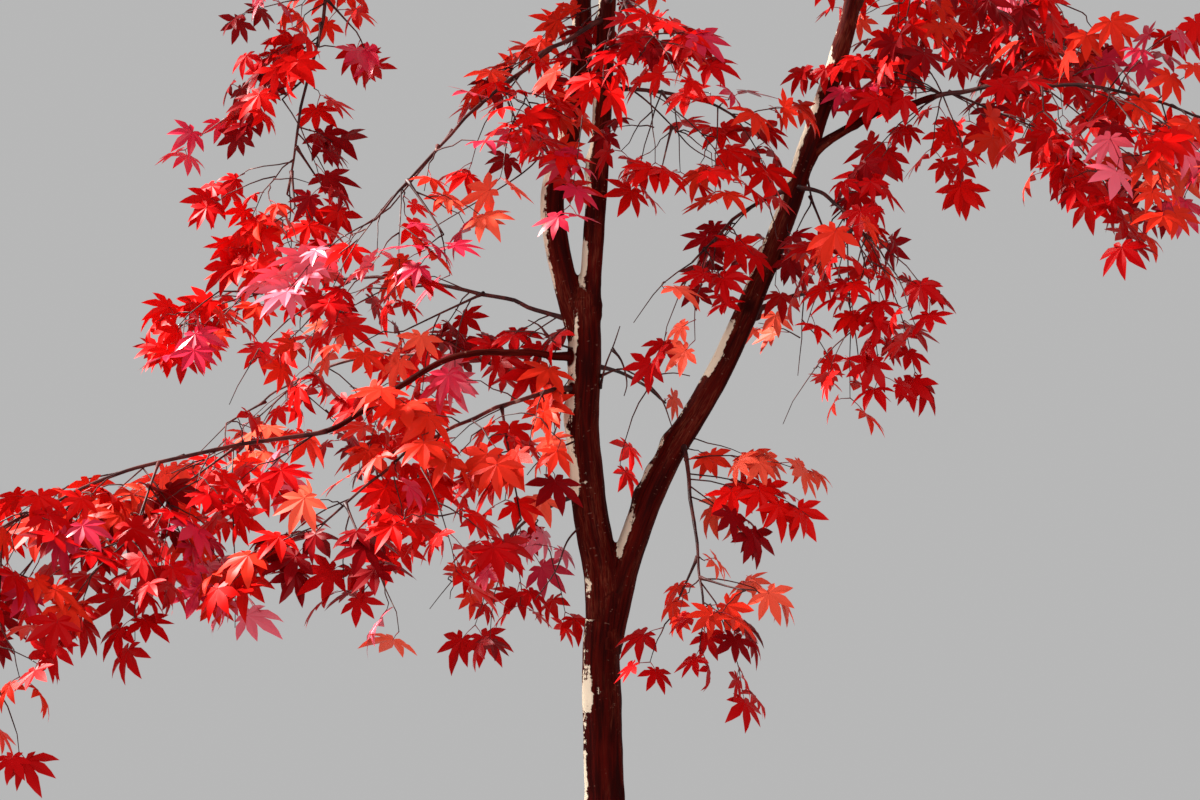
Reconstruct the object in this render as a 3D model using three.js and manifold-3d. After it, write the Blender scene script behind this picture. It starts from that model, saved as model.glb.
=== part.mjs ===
// A young Japanese maple in autumn: a slim trunk that forks twice, its boughs, and airy tiers of leaves.
// Millimetres, Z up. X runs across the front view and Y runs away from the viewer.
// The origin is the middle of the trunk's flat foot, at ground level.
import * as THREE from "three";
import { mergeVertices } from "three/addons/utils/BufferGeometryUtils.js";
import Module from "manifold-3d";

const wasm = await Module();
wasm.setup();

// Driving dimensions
const gap = 0.3; // between pieces that touch
const rootFlare = { spread: 27, height: 62, ribs: 5, ribDepth: 0.3 };
const ground = { width: 400, depth: 100 }; // the block that cuts the foot flat

// One leaf stands for a spray of them, so it is larger than life. It is measured from its hub to its tip,
// and all the other lengths in leaf and twig are shares of that, but for thickness and radii.
const leaf = {
  length: 142,
  thickness: 4,
  lobes: [ // degrees from the midline, and how far the tip reaches
    [-76, 0.56],
    [-39, 0.88],
    [0, 1],
    [39, 0.88],
    [76, 0.56],
  ],
  notch: 0.42, // how far out the cuts between the lobes start
  stalk: 0.45, // how far behind the hub the root lies
  curl: 0.16, // how far the tips bend down
  sizes: [0.86, 1.06],
  spacing: 0.4, // along a side twig, on alternate sides
  turn: [44, 68], // degrees between a leaf and its twig
  droop: [0.4, 1.4], // slope
  apart: 0.115, // least distance between the spots of two leaves
};

const twig = {
  stemRadii: [4.2, 2.2],
  sideRadii: [2.6, 1.6],
  spacing: 0.155, // along a stem, between leaves and side twigs in turn
  spread: [46, 68], // degrees between a side twig and its stem
  keptBack: 0.9, // what a side twig leaves to the edge of its space
  search: 10, // millimetres between the spots tried on the way to that edge
  least: 0.42, // where a side twig would be shorter, a leaf sits on the stem instead
  sag: 0.12, // how far its tip sinks, as a share of its own length
  arch: 0.08, // how far a stem rises above its chord, as a share of its level length
  lastLeaf: 0.98, // how far along a twig its last leaf sits
  stemRings: 4,
  sides: 3,
};

const clearance = { wood: 12, masses: 5, beadSpacing: 18 };
const seeds = 100; // set aside for each mass

const colours = { bark: "#5a2a22", crimson: "#b3121f", scarlet: "#e0211c", ember: "#f0482a" };
const roughness = { bark: 0.75, leaves: 0.5 };

// The limbs. A main limb starts at its first point, and goes through the points given.
// "cut" is the height where a fork's stub ends and the limb itself begins.
const mainLimbs = [
  {
    name: "trunk",
    through: [[0, 0, 0], [1, 1, 120], [9, 5, 400], [6, 3, 760], [-2, 0, 1110], [-3, 0, 1190], [3, 0, 1250]],
    radii: [35, 23],
    start: -0.02,
    sides: 12,
    rings: 10,
    crowding: 1.6, // rings stand closer together towards the foot
    stubs: ["left_stem", "right_bough"],
  },
  {
    name: "left_stem",
    through: [[1, 0, 1195], [-5, 0, 1290], [-18, 2, 1362], [-27, 4, 1465], [-24, 2, 1540], [-25, 2, 1625]],
    radii: [23, 20],
    sides: 10,
    rings: 6,
    cut: 1375,
    stubs: ["left_leader", "centre_leader"],
  },
  {
    name: "right_bough",
    through: [
      [3, 0, 1195], [29, 0, 1300], [70, 0, 1407], [139, 0, 1525],
      [212, 0, 1691], [257, 2, 1820], [312, 10, 2000], [350, 30, 2280],
    ],
    radii: [19, 8.5],
    sides: 10,
    rings: 12,
    cut: 1375,
  },
  {
    name: "left_leader",
    through: [
      [-28, 2, 1575], [-57, 6, 1687], [-64, 9, 1755], [-43, 14, 1832],
      [-29, 20, 1910], [-30, 28, 2020], [-92, 70, 2440],
    ],
    radii: [17, 7],
    sides: 9,
    rings: 9,
    cut: 1690,
  },
  {
    name: "centre_leader",
    through: [[-20, 0, 1575], [-14, -2, 1687], [-5, -6, 1810], [4, -14, 1990], [32, -40, 2560]],
    radii: [14.5, 6.5],
    sides: 9,
    rings: 7,
    cut: 1690,
  },
];

// A side bough leaves its parent at a height.
const sideBoughs = [
  ["low_left_bough", ["left_stem", 1552], [-100, -24, 1558], [-190, -33, 1553], [-342, -40, 1450]],
  ["high_left_bough", ["left_leader", 2120], [-150, 60, 2175], [-315, 50, 2170]],
  ["far_left_bough", ["left_leader", 2260], [-230, 90, 2370], [-400, 90, 2430]],
  ["right_side_bough", ["right_bough", 1800], [325, -10, 1850], [410, -18, 1880]],
  ["back_bough", ["left_leader", 2060], [-10, 170, 2190], [0, 340, 2270]],
  ["front_bough", ["centre_leader", 2080], [40, -170, 2190], [70, -330, 2250]],
  ["back_right_bough", ["right_bough", 1930], [335, 160, 2020], [390, 310, 2080]],
  ["front_right_bough", ["right_bough", 2080], [400, -130, 2180], [470, -270, 2240]],
  ["front_left_bough", ["left_leader", 2160], [-140, -100, 2240], [-260, -260, 2300]],
  ["low_back_bough", ["left_stem", 1490], [-130, 150, 1545], [-240, 280, 1560]],
  ["right_back_bough", ["right_bough", 1560], [195, 140, 1610], [250, 270, 1640]],
].map(([name, base, ...through]) => ({ name, base, through, radii: [7, 4.6], sides: 6, rings: 3 }));

const limbs = [...mainLimbs, ...sideBoughs];

// The masses of foliage: name, base, tip, space and shape. A stem leaves a limb at a height, or at its tip,
// and arches to a tip of its own. "space" is half the width and height of the room round it, and the room's
// middle line hangs below the stem by "hang". Leaves start at the share "bare" of the stem, side twigs leave
// the flat by up to "fan" degrees, and "size" scales the leaves.
const usual = { bare: 0, hang: 45, fan: 40, size: 1 };
const masses = [
  ["lower_left", ["low_left_bough"], [-800, -330, 1290], [230, 190], { hang: 80, fan: 50, size: 0.85 }],
  ["near_left", ["left_stem", 1515], [-335, -300, 1350], [185, 165], { bare: 0.12, fan: 50, size: 0.8 }],
  ["middle_left", ["left_stem", 1592], [-490, 230, 1630], [190, 165], { bare: 0.25, hang: 55, size: 0.8 }],
  ["upper_left", ["centre_leader", 1975], [-275, -270, 1705], [170, 155], { bare: 0.12, size: 0.75 }],
  ["front_centre", ["centre_leader", 1995], [35, -215, 1955], [160, 140], { bare: 0.2, fan: 50, size: 0.75 }],
  ["hanging_left", ["high_left_bough"], [-415, 180, 1750], [165, 165], { bare: 0.12, fan: 80, size: 0.8 }],
  ["inner_low_left", ["left_stem", 1385], [-145, 130, 1300], [160, 150], { bare: 0.3, size: 0.75 }],
  ["fork_gap", ["left_stem", 1545], [95, 135, 1480], [150, 140], { bare: 0.3, size: 0.7 }],
  [
    "lower_right", ["right_bough", 1455], [120, -200, 1235], [165, 160],
    { bare: 0.1, hang: 15, fan: 80, size: 0.75 },
  ],
  ["right_hanging", ["right_bough", 1765], [330, -220, 1675], [160, 150], { bare: 0.1, fan: 60, size: 0.75 }],
  ["right_inner", ["right_bough", 1765], [105, -125, 1665], [160, 160], { bare: 0.2, fan: 60, size: 0.75 }],
  ["upper_right", ["right_side_bough"], [765, -200, 1820], [235, 185], { hang: 65 }],
  ["top_centre", ["centre_leader", 1885], [190, -90, 1835], [165, 160], { bare: 0.15, fan: 60, size: 0.75 }],
  ["top_left", ["left_leader"], [-290, 340, 2720], [225, 200], { fan: 50 }],
  ["top", ["centre_leader"], [50, -20, 2960], [225, 220], { fan: 70 }],
  ["top_right", ["right_bough"], [560, -250, 2610], [225, 200], { fan: 50 }],
  ["far_left", ["far_left_bough"], [-770, 260, 2350], [230, 180], {}],
  ["front", ["front_bough"], [110, -780, 2225], [230, 180], {}],
  ["back", ["back_bough"], [10, 790, 2245], [230, 180], {}],
  ["back_right", ["back_right_bough"], [600, 620, 2075], [225, 175], {}],
  ["front_right", ["front_right_bough"], [740, -490, 2215], [220, 175], {}],
  ["front_left", ["front_left_bough"], [-570, -520, 2255], [225, 175], {}],
  ["low_back_left", ["low_back_bough"], [-480, 500, 1490], [210, 170], { size: 0.9 }],
  ["low_back_right", ["right_back_bough"], [420, 460, 1600], [190, 160], { size: 0.9 }],
].map(([name, base, to, space, shape]) => ({ name, base, to, space, ...usual, ...shape }));

const up = new THREE.Vector3(0, 0, 1);
const vector = (numbers) => new THREE.Vector3(...numbers);
const radians = THREE.MathUtils.degToRad;
const mix = THREE.MathUtils.lerp;

// Even random numbers between two limits, the same ones for the same seed.
function dice(seed) {
  const [factor, spread, modulus] = [16807, 48271, 2147483647];
  let state = (seed * factor * spread) % modulus;
  return (low, high) => {
    state = (state * factor) % modulus;
    return mix(low, high, state / modulus);
  };
}

// A closed geometry with each of its points moved by a rule.
function reshaped(geometry, rule) {
  const bare = new THREE.BufferGeometry();
  bare.setIndex(geometry.index).setAttribute("position", geometry.getAttribute("position"));
  const places = bare.getAttribute("position");
  const point = new THREE.Vector3();
  for (let i = 0; i < places.count; i++) {
    rule(point.fromBufferAttribute(places, i));
    places.setXYZ(i, point.x, point.y, point.z);
  }
  return mergeVertices(bare, 1e-4);
}

function solidOf(geometry) {
  const vertProperties = geometry.getAttribute("position").array;
  const triVerts = new Uint32Array(geometry.index.array);
  return new wasm.Manifold(new wasm.Mesh({ numProp: 3, vertProperties, triVerts }));
}

function geometryOf(solid) {
  const { vertProperties, triVerts } = solid.getMesh();
  const geometry = new THREE.BufferGeometry();
  geometry.setAttribute("position", new THREE.BufferAttribute(vertProperties, 3));
  return geometry.setIndex(new THREE.BufferAttribute(triVerts, 1));
}

// The largest piece of a solid. Scraps are dropped, and hollows that joining sealed are filled.
function wholePiece(solid) {
  return solid.decompose().reduce((most, piece) => (piece.volume() > most.volume() ? piece : most));
}

// A place on a curve and the way it runs there. Past its ends the curve goes straight on.
function onCurve(curve, share) {
  const held = THREE.MathUtils.clamp(share, 0, 1);
  const ahead = curve.getTangentAt(held);
  const centre = curve.getPointAt(held).addScaledVector(ahead, (share - held) * curve.getLength());
  return { centre, ahead };
}

// The share of a curve's length at which it rises past a height.
function shareAtHeight(curve, height) {
  const step = 0.001;
  let share = 0;
  while (curve.getPointAt(share).z < height) share += step;
  return share;
}

// A closed tube along a curve, from one share of its length to another.
function tube({ curve, radiusAt, start = 0, end = 1, sides, rings, crowding = 1 }) {
  const run = curve.getPointAt(1).sub(curve.getPointAt(0)).normalize();
  const runsAway = Math.abs(run.y) > Math.SQRT1_2;
  const across = runsAway ? new THREE.Vector3(1, 0, 0) : new THREE.Vector3(0, 1, 0);
  const cylinder = new THREE.CylinderGeometry(1, 1, 1, sides, rings);
  const bent = reshaped(cylinder, (point) => {
    const share = mix(start, end, (point.y + 0.5) ** crowding);
    const { centre, ahead } = onCurve(curve, share);
    const right = new THREE.Vector3().crossVectors(ahead, across).normalize();
    const out = new THREE.Vector3().crossVectors(right, ahead);
    const radius = radiusAt(share, Math.atan2(point.z, point.x));
    const { x, z } = point;
    point.copy(centre).addScaledVector(right, x * radius).addScaledVector(out, z * radius);
  });
  return solidOf(bent);
}

// The limbs' curves, looked up by name.
const limbNamed = {};
for (const limb of limbs) {
  const points = limb.through.map(vector);
  if (limb.base) {
    const parent = limbNamed[limb.base[0]].curve;
    points.unshift(parent.getPointAt(shareAtHeight(parent, limb.base[1])));
  }
  limb.curve = new THREE.CatmullRomCurve3(points, false, "centripetal");
  limb.start ??= limb.cut ? shareAtHeight(limb.curve, limb.cut) : 0;
  limbNamed[limb.name] = limb;
}

// The trunk's radius swells into ribs at its foot.
function trunkRadius(share, angle) {
  const { curve, radii } = limbNamed.trunk;
  const ribs = 1 + rootFlare.ribDepth * Math.cos(rootFlare.ribs * angle);
  const flare = rootFlare.spread * ribs * Math.exp((-share * curve.getLength()) / rootFlare.height);
  return mix(...radii, share) + flare;
}

// A stretch of a limb, thickened all round by "more".
function stretch(limb, start, end, more) {
  const { curve, radii, sides, rings, crowding } = limb;
  const isTrunk = limb.name === "trunk";
  const radiusAt = (share, angle) => more + (isTrunk ? trunkRadius(share, angle) : mix(...radii, share));
  const past = more / curve.getLength();
  return tube({
    curve,
    radiusAt,
    start: start - past,
    end: end + past,
    sides,
    rings: Math.max(2, Math.round(rings * (end - start))),
    crowding,
  });
}

// A limb with the stubs of the limbs that leave its fork, cut square just short of where those begin.
function limbSolid(limb, more = 0) {
  const stubs = (limb.stubs ?? []).map((name) => {
    const child = limbNamed[name];
    return stretch(child, 0, child.start - gap / child.curve.getLength(), more);
  });
  return wasm.Manifold.union([stretch(limb, limb.start, 1, more), ...stubs]);
}

const groundBlock = new THREE.BoxGeometry(ground.width, ground.width, ground.depth);
const underground = solidOf(reshaped(groundBlock, (point) => point.z -= ground.depth / 2));
const mainWood = wasm.Manifold.union(mainLimbs.map((limb) => limbSolid(limb, gap)));
const allWood = wasm.Manifold.union(limbs.map((limb) => limbSolid(limb, gap)));

function woodOf(limb) {
  const cutter = limb.base ? mainWood : underground;
  return wholePiece(limbSolid(limb).subtract(cutter));
}

// A mass's stem, and the axes of the space round it: ahead along its chord, sideways on the level, and lift.
for (const mass of masses) {
  const [limbName, height] = mass.base;
  const parent = limbNamed[limbName].curve;
  const root = parent.getPointAt(height ? shareAtHeight(parent, height) : 1);
  const tip = vector(mass.to);
  const level = tip.clone().sub(root).setZ(0).length();
  const bend = root.clone().lerp(tip, 0.5).addScaledVector(up, level * twig.arch * 2);
  mass.stem = new THREE.QuadraticBezierCurve3(root, bend, tip);
  mass.firstLeaf = mass.stem.getPointAt(mass.bare);
  mass.ahead = tip.clone().sub(mass.firstLeaf).normalize();
  mass.side = new THREE.Vector3().crossVectors(mass.ahead, up).normalize();
  mass.lift = new THREE.Vector3().crossVectors(mass.side, mass.ahead);
  mass.chord = tip.distanceTo(mass.firstLeaf);
}

// How far a point is from the middle line of a mass's space, in millimetres and as a share of its size.
function offsetFrom(mass, point) {
  const [width, height] = mass.space;
  const way = point.clone().sub(mass.firstLeaf).addScaledVector(up, mass.hang);
  const along = way.dot(mass.ahead);
  const past = along - THREE.MathUtils.clamp(along, 0, mass.chord);
  const [aside, above] = [way.dot(mass.side), way.dot(mass.lift)];
  const depth = Math.hypot(past / width, aside / width, above / height);
  return { distance: Math.hypot(past, aside, above), depth };
}

// A point belongs to the mass whose middle line it is nearest to, if it is within that mass's space.
function belongs(mass, point) {
  const { distance, depth } = offsetFrom(mass, point);
  const isNearest = (other) => offsetFrom(other, point).distance > distance + clearance.masses;
  return depth < 1 && masses.every((other) => other === mass || isNearest(other));
}

// Beads along the limbs and stems, that foliage of any other stem keeps clear of.
function beadsAlong(owner, curve, radii) {
  const count = Math.ceil(curve.getLength() / clearance.beadSpacing);
  return curve.getSpacedPoints(count).map((point, i) => ({ owner, point, radius: mix(...radii, i / count) }));
}
const beads = [
  ...limbs.flatMap((limb) => beadsAlong(limb, limb.curve, limb.radii)),
  ...masses.flatMap((mass) => beadsAlong(mass, mass.stem, twig.stemRadii)),
];

function isClear(mass, point) {
  const isFar = (bead) => bead.point.distanceTo(point) > bead.radius + clearance.wood;
  return beads.every((bead) => bead.owner === mass || isFar(bead));
}

const fits = (mass, points) => points.every((point) => belongs(mass, point) && isClear(mass, point));

// The leaf's rim: the lobes' tips with a notch between each two, and the root behind.
const leafRim = leaf.lobes.flatMap(([angle, reach], i) => {
  const tip = { angle, reach, sag: leaf.curl * reach };
  const next = leaf.lobes[i + 1];
  return next ? [tip, { angle: (angle + next[0]) / 2, reach: leaf.notch, sag: 0 }] : [tip];
});
leafRim.push({ angle: 180, reach: leaf.stalk, sag: 0 });

// A leaf's hub and face, and the place of a spot given by its angle from the midline, its reach and its sag.
function leafFrame({ root, axis, length }) {
  const right = new THREE.Vector3().crossVectors(axis, up).normalize();
  const face = new THREE.Vector3().crossVectors(right, axis);
  const hub = root.clone().addScaledVector(axis, leaf.stalk * length);
  const place = ({ angle, reach, sag }) =>
    hub
      .clone()
      .addScaledVector(axis, Math.cos(radians(angle)) * reach * length)
      .addScaledVector(right, Math.sin(radians(angle)) * reach * length)
      .addScaledVector(face, -sag * length);
  return { hub, face, place };
}

// A flat double pyramid over the leaf's rim.
function leafSolid({ hub, face, place }) {
  const ball = new THREE.SphereGeometry(1, leafRim.length, 2);
  const flattened = reshaped(ball, (point) => {
    const isPole = Math.abs(point.y) > 0.5;
    const turn = Math.atan2(point.z, -point.x) / (2 * Math.PI);
    const spot = (leafRim.length - Math.round(turn * leafRim.length)) % leafRim.length;
    const pole = hub.clone().addScaledVector(face, Math.sign(point.y) * leaf.thickness / 2);
    point.copy(isPole ? pole : place(leafRim[spot]));
  });
  return solidOf(flattened);
}

// The spots of a leaf that must fit: its rim, its hub and half-way out along each lobe.
function leafSpots({ hub, place }) {
  const halfWay = leaf.lobes.map(([angle, reach]) => place({ angle, reach: reach / 2, sag: 0 }));
  return [hub, ...leafRim.map(place), ...halfWay];
}

// A leaf on a twig, turned from it to one hand, and hanging.
function leafOn(mass, curve, share, hand, throwDice) {
  const { centre, ahead } = onCurve(curve, share);
  const turn = radians(hand * throwDice(...leaf.turn) + throwDice(-mass.fan, mass.fan));
  const axis = ahead.clone().setZ(0).normalize().applyAxisAngle(up, -turn);
  axis.addScaledVector(up, -throwDice(...leaf.droop)).normalize();
  return { root: centre, axis, length: leaf.length * mass.size * throwDice(...leaf.sizes) };
}

// One leaf near a side twig's tip, and others on alternate sides back from there.
function leavesAlong(mass, curve, throwDice) {
  const step = (leaf.spacing * leaf.length * mass.size) / curve.getLength();
  const leaves = [leafOn(mass, curve, twig.lastLeaf, 0, throwDice)];
  for (let i = 1; i * step < 1 - step / 2; i++) {
    leaves.push(leafOn(mass, curve, 1 - i * step, (-1) ** i, throwDice));
  }
  return leaves;
}

// A side twig that leaves the stem to one hand, if its space has room for one.
function sideTwig(mass, share, hand, throwDice) {
  const { centre, ahead } = onCurve(mass.stem, share);
  const spread = radians(throwDice(...twig.spread));
  const tilt = radians(throwDice(-mass.fan, mass.fan));
  const way = ahead.clone().multiplyScalar(Math.cos(spread));
  way.addScaledVector(mass.side, hand * Math.cos(tilt) * Math.sin(spread));
  way.addScaledVector(mass.lift, Math.sin(tilt) * Math.sin(spread));
  let room = 0;
  while (belongs(mass, centre.clone().addScaledVector(way, room + twig.search))) room += twig.search;
  const length = room - twig.keptBack * leaf.length * mass.size;
  const tip = centre.clone().addScaledVector(way, length).addScaledVector(up, -twig.sag * length);
  return length < twig.least * leaf.length * mass.size ? null : new THREE.LineCurve3(centre, tip);
}

const twigTube = (curve, radii, rings) =>
  tube({ curve, radiusAt: (share) => mix(...radii, share), sides: twig.sides, rings });

// The foliage of one mass: its stem, the side twigs that bear leaves, and the leaves that find room.
function massSolid(mass, number) {
  const parts = [twigTube(mass.stem, twig.stemRadii, twig.stemRings)];
  const taken = [];
  const apart = leaf.apart * leaf.length * mass.size;
  const addLeaves = (leaves) => {
    const kept = leaves.map(leafFrame).filter((frame) => {
      const spots = leafSpots(frame);
      const isCrowded = spots.some((spot) => taken.some((other) => other.distanceTo(spot) < apart));
      if (isCrowded || !fits(mass, spots)) return false;
      taken.push(...spots);
      return true;
    });
    parts.push(...kept.map(leafSolid));
    return kept.length;
  };
  const seed = number * seeds;
  addLeaves([leafOn(mass, mass.stem, twig.lastLeaf, 0, dice(seed))]);
  const leafyLength = mass.stem.getLength() * (1 - mass.bare);
  const count = Math.round(leafyLength / (twig.spacing * leaf.length * mass.size));
  for (let i = 1; i <= count; i++) {
    const throwDice = dice(seed + i);
    const share = mix(mass.bare, 1, i / (count + 1));
    const hand = Math.floor(i / 2) % 2 ? 1 : -1;
    const side = i % 2 ? sideTwig(mass, share, hand, throwDice) : null;
    if (!side) addLeaves([leafOn(mass, mass.stem, share, hand, throwDice)]);
    else if (addLeaves(leavesAlong(mass, side, throwDice)) > 0) parts.push(twigTube(side, twig.sideRadii, 1));
  }
  return wholePiece(wasm.Manifold.union(parts).subtract(allWood));
}

function meshOf(name, solid, color, roughness) {
  const material = new THREE.MeshStandardMaterial({ color, roughness, metalness: 0 });
  const mesh = new THREE.Mesh(geometryOf(solid), material);
  mesh.name = name;
  return mesh;
}

const tree = new THREE.Group();
for (const limb of limbs) tree.add(meshOf(limb.name, woodOf(limb), colours.bark, roughness.bark));
const tints = [colours.scarlet, colours.crimson, colours.ember];
masses.forEach((mass, i) => {
  tree.add(meshOf(`leaves_${mass.name}`, massSolid(mass, i + 1), tints[i % tints.length], roughness.leaves));
});

export default tree;
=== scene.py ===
import math
import bmesh
import bpy
import numpy as np
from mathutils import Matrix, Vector


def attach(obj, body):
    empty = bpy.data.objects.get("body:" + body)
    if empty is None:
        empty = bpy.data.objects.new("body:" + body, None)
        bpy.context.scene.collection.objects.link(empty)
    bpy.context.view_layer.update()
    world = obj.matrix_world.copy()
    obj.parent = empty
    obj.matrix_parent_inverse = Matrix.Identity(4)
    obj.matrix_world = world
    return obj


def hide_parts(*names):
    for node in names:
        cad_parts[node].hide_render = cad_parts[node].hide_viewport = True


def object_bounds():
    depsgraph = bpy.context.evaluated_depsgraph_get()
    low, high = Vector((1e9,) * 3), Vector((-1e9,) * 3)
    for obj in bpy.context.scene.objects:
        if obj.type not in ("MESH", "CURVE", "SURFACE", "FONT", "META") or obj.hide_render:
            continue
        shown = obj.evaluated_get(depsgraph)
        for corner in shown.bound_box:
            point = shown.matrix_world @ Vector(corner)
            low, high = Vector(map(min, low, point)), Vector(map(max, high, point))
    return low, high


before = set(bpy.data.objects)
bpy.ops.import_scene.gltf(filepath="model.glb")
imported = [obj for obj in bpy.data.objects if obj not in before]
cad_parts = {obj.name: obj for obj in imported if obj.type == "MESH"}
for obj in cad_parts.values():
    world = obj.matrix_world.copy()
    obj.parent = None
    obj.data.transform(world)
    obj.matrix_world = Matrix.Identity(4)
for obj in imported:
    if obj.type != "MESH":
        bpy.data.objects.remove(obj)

cadBox = [list(corner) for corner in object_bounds()]
mm = 0.001
up = np.array([0.0, 0.0, 1.0])


def mix(low, high, share):
    # low where share is 0, high where it is 1.
    return low + (high - low) * share


def unit(vectors):
    # Each vector divided by its length.
    return vectors / np.linalg.norm(vectors, axis=-1, keepdims=True)


def dot(a, b):
    # The vectors' products along their last axis, added up.
    return np.sum(a * b, axis=-1, keepdims=True)


# The part's rule
mainLimbs = {  # the points each middle line goes through, and its radii at base and tip
    "trunk": {
        "through": [[0, 0, 0], [1, 1, 120], [9, 5, 400], [6, 3, 760],
                    [-2, 0, 1110], [-3, 0, 1190], [3, 0, 1250]],
        "radii": (35, 23)},
    "left_stem": {
        "through": [[1, 0, 1195], [-5, 0, 1290], [-18, 2, 1362],
                    [-27, 4, 1465], [-24, 2, 1540], [-25, 2, 1625]],
        "radii": (23, 20)},
    "right_bough": {
        "through": [[3, 0, 1195], [29, 0, 1300], [70, 0, 1407], [139, 0, 1525],
                    [212, 0, 1691], [257, 2, 1820], [312, 10, 2000], [350, 30, 2280]],
        "radii": (19, 8.5)},
    "left_leader": {
        "through": [[-28, 2, 1575], [-57, 6, 1687], [-64, 9, 1755], [-43, 14, 1832],
                    [-29, 20, 1910], [-30, 28, 2020], [-92, 70, 2440]],
        "radii": (17, 7)},
    "centre_leader": {
        "through": [[-20, 0, 1575], [-14, -2, 1687], [-5, -6, 1810], [4, -14, 1990], [32, -40, 2560]],
        "radii": (14.5, 6.5)},
}
sideBoughRadii = (7, 4.6)
sideBoughs = {  # a parent, the height where each leaves it, and the points it goes through
    "low_left_bough": ("left_stem", 1552, [-100, -24, 1558], [-190, -33, 1553], [-342, -40, 1450]),
    "high_left_bough": ("left_leader", 2120, [-150, 60, 2175], [-315, 50, 2170]),
    "far_left_bough": ("left_leader", 2260, [-230, 90, 2370], [-400, 90, 2430]),
    "right_side_bough": ("right_bough", 1800, [325, -10, 1850], [410, -18, 1880]),
    "back_bough": ("left_leader", 2060, [-10, 170, 2190], [0, 340, 2270]),
    "front_bough": ("centre_leader", 2080, [40, -170, 2190], [70, -330, 2250]),
    "back_right_bough": ("right_bough", 1930, [335, 160, 2020], [390, 310, 2080]),
    "front_right_bough": ("right_bough", 2080, [400, -130, 2180], [470, -270, 2240]),
    "front_left_bough": ("left_leader", 2160, [-140, -100, 2240], [-260, -260, 2300]),
    "low_back_bough": ("left_stem", 1490, [-130, 150, 1545], [-240, 280, 1560]),
    "right_back_bough": ("right_bough", 1560, [195, 140, 1610], [250, 270, 1640]),
}
# the pink share sets how much more often a mass takes the pink leaves of painted sheen
usual = {"height": None, "bare": 0, "hang": 45, "fan": 40, "size": 1,
         "fullness": 0.55, "share": 1, "droop": (14, 62), "leafScale": 1, "pinkSheen": 0.15, "warm": 0.15}
masses = {  # where each stem starts, its tip, half the width and height of its space, and its shape
    "lower_left": ("low_left_bough", [-800, -330, 1290], (230, 190),
                   {"hang": 80, "fan": 50, "size": 0.85, "fullness": 0.7, "leafScale": 1.05, "share": 0.62}),
    "near_left": ("left_stem", [-335, -300, 1350], (185, 165),
                  {"height": 1515, "bare": 0.12, "fan": 50, "size": 0.8, "leafScale": 1.08, "warm": 0.35,
                   "share": 0.6}),
    "middle_left": ("left_stem", [-490, 230, 1630], (190, 165),
                    {"height": 1592, "bare": 0.25, "hang": 55, "size": 0.8, "fullness": 0.8, "pinkSheen": 0.4,
                     "share": 0.6}),
    "upper_left": ("centre_leader", [-275, -270, 1705], (170, 155),
                   {"height": 1975, "bare": 0.12, "size": 0.75, "droop": (0, 38), "pinkSheen": 0.8, "share": 0.6}),
    "front_centre": ("centre_leader", [35, -215, 1955], (160, 140),
                     {"height": 1995, "bare": 0.2, "fan": 50, "size": 0.75, "droop": (5, 45), "pinkSheen": 0.6,
                      "share": 0.6}),
    "hanging_left": ("high_left_bough", [-415, 180, 1750], (165, 165),
                     {"bare": 0.12, "fan": 80, "size": 0.8, "fullness": 0.4, "pinkSheen": 0.3, "share": 0.5}),
    "inner_low_left": ("left_stem", [-145, 130, 1300], (160, 150),
                       {"height": 1385, "bare": 0.3, "size": 0.75, "fullness": 0.6, "warm": 0.3,
                        "share": 0.6}),
    "fork_gap": ("left_stem", [95, 135, 1480], (150, 140),
                 {"height": 1545, "bare": 0.3, "size": 0.7, "fullness": 0.3, "warm": 0.5, "share": 0.4}),
    "lower_right": ("right_bough", [120, -200, 1235], (165, 160),
                    {"height": 1455, "bare": 0.1, "hang": 15, "fan": 80, "size": 0.75, "fullness": 0.3,
                     "droop": (20, 70), "leafScale": 0.95, "warm": 0.8, "pinkSheen": 0, "share": 0.15}),
    "right_hanging": ("right_bough", [330, -220, 1675], (160, 150),
                      {"height": 1765, "bare": 0.1, "fan": 60, "size": 0.75, "leafScale": 0.92, "pinkSheen": 0,
                       "share": 0.6}),
    "right_inner": ("right_bough", [105, -125, 1665], (160, 160),
                    {"height": 1765, "bare": 0.2, "fan": 60, "size": 0.75, "leafScale": 0.92, "pinkSheen": 0,
                     "share": 0.6}),
    "upper_right": ("right_side_bough", [765, -200, 1820], (235, 185),
                    {"hang": 65, "fullness": 0.7, "share": 0.75}),
    "top_centre": ("centre_leader", [190, -90, 1835], (165, 160),
                   {"height": 1885, "bare": 0.15, "fan": 60, "size": 0.75, "droop": (5, 50), "share": 0.5}),
    "top_left": ("left_leader", [-290, 340, 2720], (225, 200), {"fan": 50}),
    "top": ("centre_leader", [50, -20, 2960], (225, 220), {"fan": 70}),
    "top_right": ("right_bough", [560, -250, 2610], (225, 200), {"fan": 50, "fullness": 0.7}),
    "far_left": ("far_left_bough", [-770, 260, 2350], (230, 180), {}),
    "front": ("front_bough", [110, -780, 2225], (230, 180), {}),
    "back": ("back_bough", [10, 790, 2245], (230, 180), {}),
    "back_right": ("back_right_bough", [600, 620, 2075], (225, 175), {}),
    "front_right": ("front_right_bough", [740, -490, 2215], (220, 175), {}),
    "front_left": ("front_left_bough", [-570, -520, 2255], (225, 175), {}),
    "low_back_left": ("low_back_bough", [-480, 500, 1490], (210, 170), {"size": 0.9, "share": 0.6}),
    "low_back_right": ("right_back_bough", [420, 460, 1600], (190, 160), {"size": 0.9, "share": 0.4}),
}
bigLeaf = {  # the large leaf that stands for a spray; lengths are shares of its own
    "length": 142, "lobes": [(-76, 0.56), (-39, 0.88), (0, 1), (39, 0.88), (76, 0.56)],
    "notch": 0.42, "stalk": 0.45, "curl": 0.16, "sizes": (0.86, 1.06), "spacing": 0.4,
    "turn": (44, 68), "droop": (0.4, 1.4), "apart": 0.115}
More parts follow.
